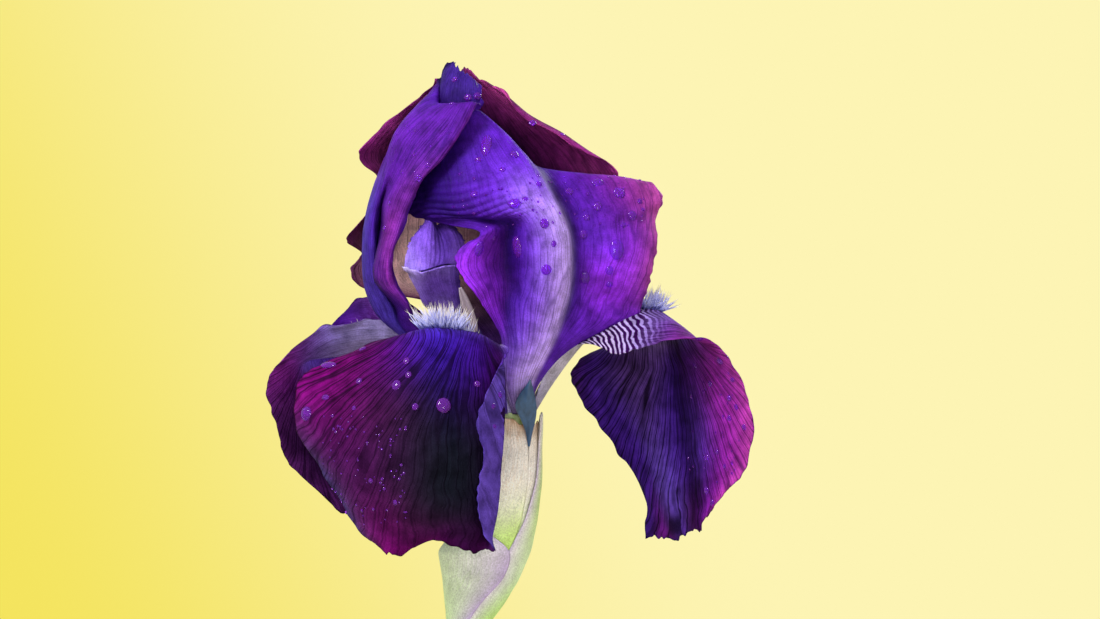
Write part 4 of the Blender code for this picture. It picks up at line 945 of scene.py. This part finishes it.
standard_left_net = np.array([
    ring_row((-114, -84), 9, STANDARD_RING),
    [(-17, 1.5, 14), (-18, 0.8, 12.8), (-18.4, -0.5, 11.8), (-18.2, -1.8, 11.5), (-17.6, -2.8, 11.6),
     (-17, -3.8, 12), (-16.5, -4.5, 12.4), (-16, -5, 12.8), (-15.5, -5.5, 13)],
    [(-35, 2, 26), (-36, 0, 24.5), (-34.5, -2.5, 23.2), (-32, -4.2, 22.5), (-31, -4, 22.6),
     (-30, -5, 23), (-29, -6.5, 23.5), (-28, -7.5, 24.5), (-27.5, -7.5, 25.5)],
    [(-39, 4, 30), (-40, 0.5, 29.5), (-38, -3.5, 29), (-34, -6, 28.5), (-33, -4, 28.5),
     (-32, -8, 29), (-30.5, -12, 29.5), (-29.2, -14, 29.5), (-29, -12.5, 30)],
    [(-41, 5, 36), (-42, 1, 36), (-40.5, -4, 36), (-38, -7, 35.5), (-37, -3.5, 35.5),
     (-39, -9, 36), (-36.5, -14, 35.5), (-33.5, -15.5, 35), (-32, -13, 35.5)],
    [(-42, 7, 44), (-42.3, 2, 44), (-41, -4, 44), (-38.5, -7.5, 43.5), (-37.5, -4, 43.5),
     (-38, -11, 43), (-36, -15.5, 42.5), (-34.2, -16.5, 42), (-33, -13.5, 42.5)],
    [(-41, 8, 52), (-41.4, 2, 51.5), (-40.6, -5, 51), (-38.6, -8, 50.5), (-37.2, -2.5, 50.3),
     (-35.8, -11.5, 50), (-34.2, -15.5, 49.5), (-31.6, -17, 49.3), (-30.8, -14.5, 50)],
    [(-39.5, 8, 60), (-39.8, 2, 59), (-38.8, -6, 58), (-37.2, -9.5, 57.5), (-36.4, -5.5, 57),
     (-35.4, -13, 57), (-32.4, -17.5, 56.5), (-29, -18.5, 56.3), (-28, -16.5, 57)],
    [(-36, 8, 69), (-36.4, 1, 67.5), (-35.8, -7, 66.5), (-34.5, -13, 65.5), (-33, -15.5, 65),
     (-31, -17.5, 64.5), (-29, -19, 63.5), (-25.8, -20, 62.5), (-25, -18, 63)],
    [(-30, 7, 80), (-32, 0, 78), (-33.2, -8, 75.5), (-31.5, -13, 74), (-29, -16, 72.8),
     (-26.5, -18, 71.8), (-24, -19.5, 70.5), (-20, -20.5, 68.8), (-19, -18.5, 69)],
    [(-23.5, 4, 88), (-25.5, -1, 85.5), (-27, -8, 82), (-25, -13, 80.5), (-23, -16, 79.3),
     (-20.5, -18.5, 78.5), (-18, -19.8, 77.5), (-15, -20.3, 76), (-14, -18.5, 76)],
    [(-21, 2, 90), (-22, -3, 87.5), (-22, -8, 84), (-20, -12, 83.4), (-18.2, -14.5, 83.4),
     (-16, -16.5, 83.5), (-14, -17.5, 83.8), (-11.5, -18, 84), (-10, -16.5, 83.8)],
    [(-20.8, 1, 90.5), (-21, -2.5, 87), (-20.6, -5, 82.4), (-18.8, -9, 81.2), (-17, -11, 81),
     (-15, -12.5, 81), (-13, -13.2, 81.2), (-11.2, -13.6, 81.4), (-10, -13, 81.4)],
    [(-20.5, 1, 92), (-20.6, -3, 90), (-20, -6.5, 88), (-18.5, -9, 87.5), (-17, -10.5, 87.2),
     (-15, -12, 87), (-13, -13, 86.8), (-11, -13.5, 86.5), (-9.5, -13, 85.8)],
    [(-18.6, -1, 95), (-18, -3, 94.6), (-17.2, -4.5, 94.2), (-16.5, -5.8, 93.6), (-15.6, -7, 92.8),
     (-14.6, -8, 92), (-13.4, -9, 91), (-12, -9.8, 89.6), (-10.8, -10.2, 88.2)],
])
grid = petal_grid(standard_left_net, 220, 150, 91, 0.8, 0.22, 0.45, 30, 0.02)
standard_left_grid = grid
# The left standard's near-black 'k' is painted shade: in the valley between the claw band and the twisted strip, and
# across the fold below its tip. The pink 'P' on the twisted strip is a painted highlight on its purple.
sheet_piece(
    "standard_left_silk", grid, flesh_thickness(grid, 0.6, 0.3), 1,
    STANDARD_TONES, (
        "ggggggggg", "ccbbbcccc", "DcbbkeeeD", "DcbbkDeFe", "DbbckDFPe", "DbbckDFPe", "DbbekDPFe", "DbbekfFFe",
        "HfffffFFP", "HfffffffP", "HeffffffP", "keeeffffe", "kkkkkkkkk", "kccccccce", "kcccccccc",
    ),
    ["eeee"] * 4,
    ("DD", "DD"),
    ((0.6, 0.6), (0.5, 0.7), (0.5, 0.6)), NO_HAFT, left_silk, ["standard_left"],
)
standard_back_net = np.array([
    ring_row((174, 128), 9, STANDARD_RING),
    [(-5, 12.5, 15), (-4, 13, 14.2), (-2.5, 13.2, 13.4), (-1, 13, 13), (0.5, 12.6, 12.6),
     (2, 12.3, 12.8), (3.5, 11.9, 13.4), (4.8, 11.3, 14.2), (6, 10.5, 15)],
    [(-20, 25, 30), (-16, 24.8, 28), (-11, 24.2, 26.6), (-6, 23.6, 26), (-1, 23, 26),
     (4, 22.2, 26), (8.5, 21.3, 26.6), (12.5, 20, 27.8), (16, 18.5, 29)],
    [(-42, 20, 33), (-35, 25, 34), (-26, 28, 35), (-16, 29, 36), (-5, 29, 36),
     (5, 28, 36), (13, 25, 35.5), (20, 22, 35), (25, 19, 35)],
    [(-47, 17, 38.5), (-38, 24, 39.5), (-28, 28, 40.5), (-17, 29, 41), (-5, 29, 41),
     (6, 27.5, 41), (15, 24.5, 40.5), (22, 21, 40), (27, 17.5, 40)],
    [(-43, 20, 43.5), (-37, 25, 44), (-28, 28.5, 44.5), (-17, 29, 45), (-5, 29, 45),
     (7, 27, 45), (16, 24, 44.5), (24, 20, 44.5), (29, 16, 44)],
    [(-48.6, 15, 47.5), (-39, 23, 48.5), (-29, 28, 49), (-18, 29, 50), (-5, 29, 50),
     (8, 26.5, 50), (18, 23, 49.5), (26, 18.5, 49), (30.5, 14.5, 49)],
    [(-43, 15, 54.5), (-37, 22, 56), (-28, 26.5, 57), (-17, 28, 58), (-5, 27.5, 58),
     (8, 25, 58), (18, 21, 57.5), (25, 17, 57), (30, 13, 57)],
    [(-36.5, 18, 62.5), (-33, 22, 63), (-26, 25, 63.5), (-16, 26.5, 64), (-5, 26, 64),
     (7, 23.5, 64), (16, 19, 63), (24, 14.5, 62.4), (30, 11, 62)],
    [(-45.4, 11, 69.5), (-37, 17, 70), (-28, 21, 71), (-18, 23, 71.5), (-7, 22.5, 72),
     (4, 19.5, 71.5), (12, 15.5, 71), (19, 9.5, 70.2), (27, 6, 65.8)],
    [(-40, 12, 75.5), (-33, 15, 77), (-26, 18, 78), (-18, 19, 78.5), (-9, 18, 78.5),
     (0, 15.5, 77.5), (7, 11.5, 76.2), (13, 8, 75.2), (17.5, 5, 72.6)],
    [(-28.5, 12, 84.8), (-25, 13.5, 85.5), (-21, 14, 86), (-16, 14, 86.3), (-11, 13, 86),
     (-6, 11.8, 85), (-2, 9.8, 84), (2, 7.5, 82), (5.5, 5, 78.6)],
    [(-22, 10.5, 90.5), (-20, 10, 91.3), (-18, 9.4, 92), (-16, 8.8, 92.6), (-13.8, 8.2, 93),
     (-11.6, 7.8, 92.4), (-9.4, 7.3, 91), (-7.2, 6.9, 89.4), (-5, 6.4, 87.8)],
])
grid = petal_grid(standard_back_net, 210, 170, 101, 1.2, 0.18, 0.5, 36, 0.04)
standard_back_grid = grid
# On the back standard, the pale 't' and tan 'T' at the left are painted light showing through the petal, the
# near-black 'n' inside the dome is painted shade, and the pink 'M' and 'm' along the rim are its maroon with a
# painted highlight.
sheet_piece(
    "standard_back_silk", grid, flesh_thickness(grid, 0.6, 0.3), 1,
    STANDARD_TONES, (
        "LLLLLLLLL", "VVVVVVVVV", "HHHhhhhhh", "HTtTnnhhh", "HTtTnnhhh", "HTtTnnhhh", "HHtTnnhhh", "HHTnnnhhh",
        "HHhnnnhHM", "mHhhnhmMM", "mHhhnhmMM", "mHHhhmMMM", "mHHHmMMMM",
    ),
    ["mHHhHHm"] * 4,
    ("nn", "nn"),
    ((0.05, 0.3), (0.03, 0.4), (0.6, 0.6)), NO_HAFT, back_silk, ["standard_back"],
)

# ---------------------------------------------------------------------------------------------------------
# Water drops. Fresh from a mister: beads of water from 0.5 to 7 mm across, that sit on the waxy petals as flattened
# domes. Their violet is painted into the water's colour, a painted glow that stands for the petal's light gathered
# through them. Each is placed where it would be seen from in front.

# Where the flower is looked at from: across and up from its throat, and how far in front, in millimetres.
EYE_HIGH = np.array((8.64, 28.2))
EYE_AWAY = 1200.0
# The IOR is set a little under the 1.33 of water, which keeps the rims of the drops from turning white.
water, _, drop_shader = new_material("water_painted_violet")
# The violet base colour is a painted glow, standing for the petal's light focused through each drop.
drop_shader.inputs["Base Color"].default_value = rgba("#A83CF4")
drop_shader.inputs["Roughness"].default_value = 0.04
drop_shader.inputs["IOR"].default_value = 1.27
drop_shader.inputs["Transmission Weight"].default_value = 0.84
drop_shader.inputs["Specular IOR Level"].default_value = 0.5


def drops_on(name, grid, facing, skin_depth, drops, sides, rings):
    """Drops on one petal, as one piece. Drop k is (x, z, half width, half height) as seen from the front. It lies at
    the grid's nearest point to that place, on the side `facing`, and is left out where that point is over 0.8 mm
    away or looks away from the front. Ring i of n is at the part sin(pi i / 2n) of its half widths and
    cos(pi i / 2n) of its height, which is half its smaller half width. Its lowest ring is 0.15 of that inside the
    petal, and a point closes it below."""
    drops = np.asarray(drops, float)
    seen = EYE_HIGH + (grid[..., [0, 2]] - EYE_HIGH) * (EYE_AWAY / (EYE_AWAY + grid[..., 1:2]))
    normal = normals_of(grid) * facing
    away = np.where(normal[..., 1] < -0.05, 0.0, 40.0) + 0.08 * grid[..., 1]
    flat, turned_away, outward = seen.reshape(-1, 2), away.ravel(), normal.reshape(-1, 3)
    far = ((flat[None] - drops[:, None, :2]) ** 2).sum(2) + turned_away[None]
    nearest = far.argmin(1)
    on_petal = (((flat[nearest] - drops[:, :2]) ** 2).sum(1) < 0.8**2) & (normal.reshape(-1, 3)[nearest, 1] < -0.05)
    drops, nearest = drops[on_petal], nearest[on_petal]
    up = outward[nearest]
    root = grid.reshape(-1, 3)[nearest] + up * skin_depth.ravel()[nearest][:, None]
    right = np.cross((0, 0, 1.0), up)
    right /= np.linalg.norm(right, axis=1)[:, None]
    tall = np.cross(up, right)
    q = np.linspace(0, 0.5 * np.pi, rings)[:, None]
    a = np.linspace(0, 2 * np.pi, sides, endpoint=False)[None, :]
    ring_x, ring_y, lift = np.sin(q) * np.cos(a), np.sin(q) * np.sin(a), np.cos(q) + 0 * a
    ring_x, ring_y, lift = (k[1:].ravel() for k in (ring_x, ring_y, lift))
    high = 0.5 * np.minimum(drops[:, 2], drops[:, 3])[:, None, None]
    across, upward = drops[:, 2, None, None], drops[:, 3, None, None]
    shell = (
        root[:, None]
        + right[:, None] * (across * ring_x[None, :, None]) + tall[:, None] * (upward * ring_y[None, :, None])
        + up[:, None] * (high * (lift[None, :, None] - 0.15))
    )
    top = root[:, None] + up[:, None] * (high * 0.85)
    under = root[:, None] - up[:, None] * (high * 0.3)
    points = np.concatenate([shell, top, under], 1)
    count, last, k = (rings - 1) * sides, (rings - 2) * sides, np.arange(sides)
    quads = grid_faces(rings - 1, sides, wrap=True)
    one = np.vstack([
        quads[:, [0, 2, 1]], quads[:, [0, 3, 2]], np.stack([0 * k + count, k, (k + 1) % sides], 1),
        np.stack([0 * k + count + 1, last + (k + 1) % sides, last + k], 1),
    ])
    faces = (one[None] + (count + 2) * np.arange(len(drops))[:, None, None]).reshape(-1, 3)
    piece_from(name, place(points.reshape(-1, 3)), faces, water)


def small_drops(seed, count, low, high, least, most):
    """Round drops strewn evenly over a box of (x, z), with many small and few large ones."""
    rng = np.random.default_rng(seed)
    spots = rng.uniform(low, high, (count, 2))
    half = least + (most - least) * rng.uniform(0, 1, count) ** 3
    return [(x, z, r, r) for (x, z), r in zip(spots, half)]


LARGE_DROPS = {
    "standard_front": (standard_front_grid, 1, (
        (-8.5, 72.5, 1.5, 3.4), (-1, 57, 1.8, 1.6), (-10.5, 68.5, 1.0, 0.9), (-1, 70, 1.2, 1.2), (7, 51.5, 1.3, 1.4),
        (7.5, 39, 1.4, 1.5), (0, 45, 1.8, 3.0), (-12, 59.5, 1.1, 1.0), (-10.5, 44.5, 1.5, 2.2),
        (-6.5, 47.5, 0.9, 0.9),
        (-7, 23, 1.4, 2.6), (26.5, 44.5, 2.1, 2.8), (27, 59.5, 1.8, 1.6), (21.5, 56, 1.3, 1.3),
        (21.5, 62.5, 1.8, 1.1),
        (14, 60, 1.2, 1.0), (31, 53.5, 1.3, 1.4), (17.5, 48.5, 1.2, 1.3), (18, 37, 1.6, 2.0), (24.5, 38.7, 1.1, 1.3),
        (24.5, 35, 1.0, 1.0), (5.5, 62, 0.9, 0.9), (2, 58, 0.9, 0.8), (-4, 66, 0.8, 0.8), (9.5, 46, 0.8, 0.9),
        (18.5, 53, 0.9, 0.9), (33, 57.5, 0.8, 0.8), (28.5, 51, 0.8, 0.8),
    )),
    "standard_left": (standard_left_grid, 1, (
        (-27, 63.5, 1.1, 1.2), (-11, 85.8, 1.1, 1.0), (-13.5, 85.5, 1.1, 1.0), (-17, 90.3, 0.9, 0.9),
        (-18, 84, 0.8, 0.8),
        (-31, 65.5, 0.6, 0.8), (-28, 70, 0.6, 0.6), (-24.5, 67, 0.7, 0.8), (-36, 50, 0.8, 0.8), (-34.5, 57, 0.7, 0.7),
    )),
    "fall_front": (fall_front_grid, -1, (
        (-20, 2, 2.0, 2.1), (-33, 8, 1.3, 1.5), (-30, 14, 0.9, 1.1), (-29.5, 10.5, 0.9, 1.0), (-28, 2, 0.9, 1.0),
        (-57, 0, 2.0, 2.0), (-51, 13.2, 2.6, 1.2), (-5.2, 5, 0.9, 1.0), (-7, 2, 0.9, 1.0), (-8.8, -0.5, 1.0, 1.2),
        (-6.5, -3.5, 0.8, 0.9), (-9, -8.5, 0.9, 1.0), (-42, 17.5, 1.2, 1.1), (-43, 9, 0.9, 0.9), (-52, 4.5, 1.2, 0.8),
        (-40, -18, 0.7, 0.7), (-33, -24, 0.6, 0.8), (-44, 1.5, 0.6, 0.7), (-11, 8, 0.9, 0.9),
    )),
    "fall_right": (fall_right_grid, -1, (
        (54.5, 14, 1.3, 1.0), (49, 20.2, 1.3, 0.9), (48, 13, 0.8, 0.8), (52, 8, 0.8, 0.9), (57, 4.5, 0.9, 0.9),
        (59, 2, 0.8, 0.9), (57, -0.8, 0.8, 0.8), (61, -3.8, 0.8, 0.9), (54, -10, 0.7, 0.8), (51, -12, 1.1, 1.2),
        (51, -20.5, 1.1, 1.2), (52.5, -24, 0.9, 1.0), (47, 5, 0.6, 0.7), (58, 9, 0.8, 0.7), (56, -14, 0.6, 0.7),
    )),
    "standard_back": (standard_back_grid, -1, ((3.5, 78, 1.1, 0.9), (-34, 79, 0.8, 0.8), (12, 75.5, 0.7, 0.7))),
}
SMALL_DROPS = {
    "standard_front": (200, 90, (-18, 50), (34, 66), 0.25, 0.6),
    "fall_front": (210, 110, (-53, -31), (-30, 0), 0.25, 0.55),
    "fall_right": (220, 50, (46, -22), (60, 16), 0.25, 0.5),
    "standard_left": (230, 30, (-34, 56), (-18, 78), 0.25, 0.55),
}
for petal, (grid, facing, drops) in LARGE_DROPS.items():
    skin_depth = 0.5 * flesh_thickness(grid, 0.6, 0.3)
    drops_on(f"water_drops_{petal}", grid, facing, skin_depth, drops, 20, 7)
    if petal in SMALL_DROPS:
        drops_on(f"water_mist_{petal}", grid, facing, skin_depth, small_drops(*SMALL_DROPS[petal]), 8, 3)

# ---------------------------------------------------------------------------------------------------------
# Floor, light and camera. A wide pale table with an even, warm, pale yellow surround; a large soft window on the
# upper left, a weaker one behind on the right that shines through the petals, a white card in front, a level camera.

floor_mesh = bpy.data.meshes.new("floor")
a = np.linspace(0, 2 * np.pi, 96, endpoint=False)
floor_mesh.from_pydata(np.stack([2.8 * np.cos(a), 2.8 * np.sin(a), 0 * a], 1).tolist(), [], [list(range(96))])
# Matt wall paint on a board: warm pale grey, without gloss.
floor_paint, _, floor_shader = new_material("matt_table_paint")
floor_shader.inputs["Base Color"].default_value = rgba("#B4AE96")
floor_shader.inputs["Roughness"].default_value = 0.8
floor_mesh.materials.append(floor_paint)
floor = bpy.data.objects.new("floor", floor_mesh)
bpy.context.scene.collection.objects.link(floor)

world = bpy.data.worlds.new("soft_surround")
world.use_nodes = True
bpy.context.scene.world = world
tree = world.node_tree
tree.nodes.clear()
heading = add(tree, "TexCoord")
compass = add(tree, "SeparateXYZ", {0: heading.outputs["Generated"]})
slant = add(tree, "Math", {0: compass.outputs["Z"], 1: 0.5, 2: compass.outputs["X"]}, operation="MULTIPLY_ADD")
sweep = add(
    tree, "MapRange", {"Value": slant.outputs[0], "From Min": -0.16, "From Max": 0.03},
    interpolation_type="SMOOTHSTEP",
)
backdrop = add(tree, "Mix", {0: sweep.outputs[0], 6: rgba("#F4E45E"), 7: rgba("#FDF4B4")}, data_type="RGBA")
seen = add(tree, "Background", {"Color": backdrop.outputs[2], "Strength": 1.0})
lit = add(tree, "Background", {"Color": rgba("#FFFAF0"), "Strength": 0.72})
ray = add(tree, "LightPath")
pick = add(tree, "MixShader", {0: ray.outputs["Is Camera Ray"], 1: lit.outputs[0], 2: seen.outputs[0]})
add(tree, "OutputWorld", {"Surface": pick.outputs[0]})

focus = Vector(THROAT * MM) + Vector((0, 0, 0.02))
for name, offset, size, power in (
    ("window_left", (-0.7, -0.85, 0.95), 0.6, 30.0),
    ("window_back", (0.7, 0.8, 0.5), 0.6, 16.0),
    ("white_card_front", (0.3, -1.6, 0.02), 0.5, 7.5),
):
    lamp = bpy.data.lights.new(name, "AREA")
    lamp.size, lamp.energy = size, power
    lamp_object = bpy.data.objects.new(name, lamp)
    lamp_object.location = focus + Vector(offset)
    lamp_object.rotation_mode = "QUATERNION"
    lamp_object.rotation_quaternion = (focus - lamp_object.location).to_track_quat("-Z", "Y")
    bpy.context.scene.collection.objects.link(lamp_object)

camera = bpy.data.cameras.new("camera")
camera.lens = 145.45
camera.sensor_width = 36.0
camera.clip_end = 20.0
camera_object = bpy.data.objects.new("camera", camera)
camera_object.location = Vector((THROAT + (EYE_HIGH[0], -EYE_AWAY, EYE_HIGH[1])) * MM)
camera_object.rotation_euler = (np.pi / 2, 0, 0)
bpy.context.scene.collection.objects.link(camera_object)
bpy.context.scene.camera = camera_object
bpy.context.scene.view_settings.view_transform = "Standard"

bpy.context.view_layer.update()
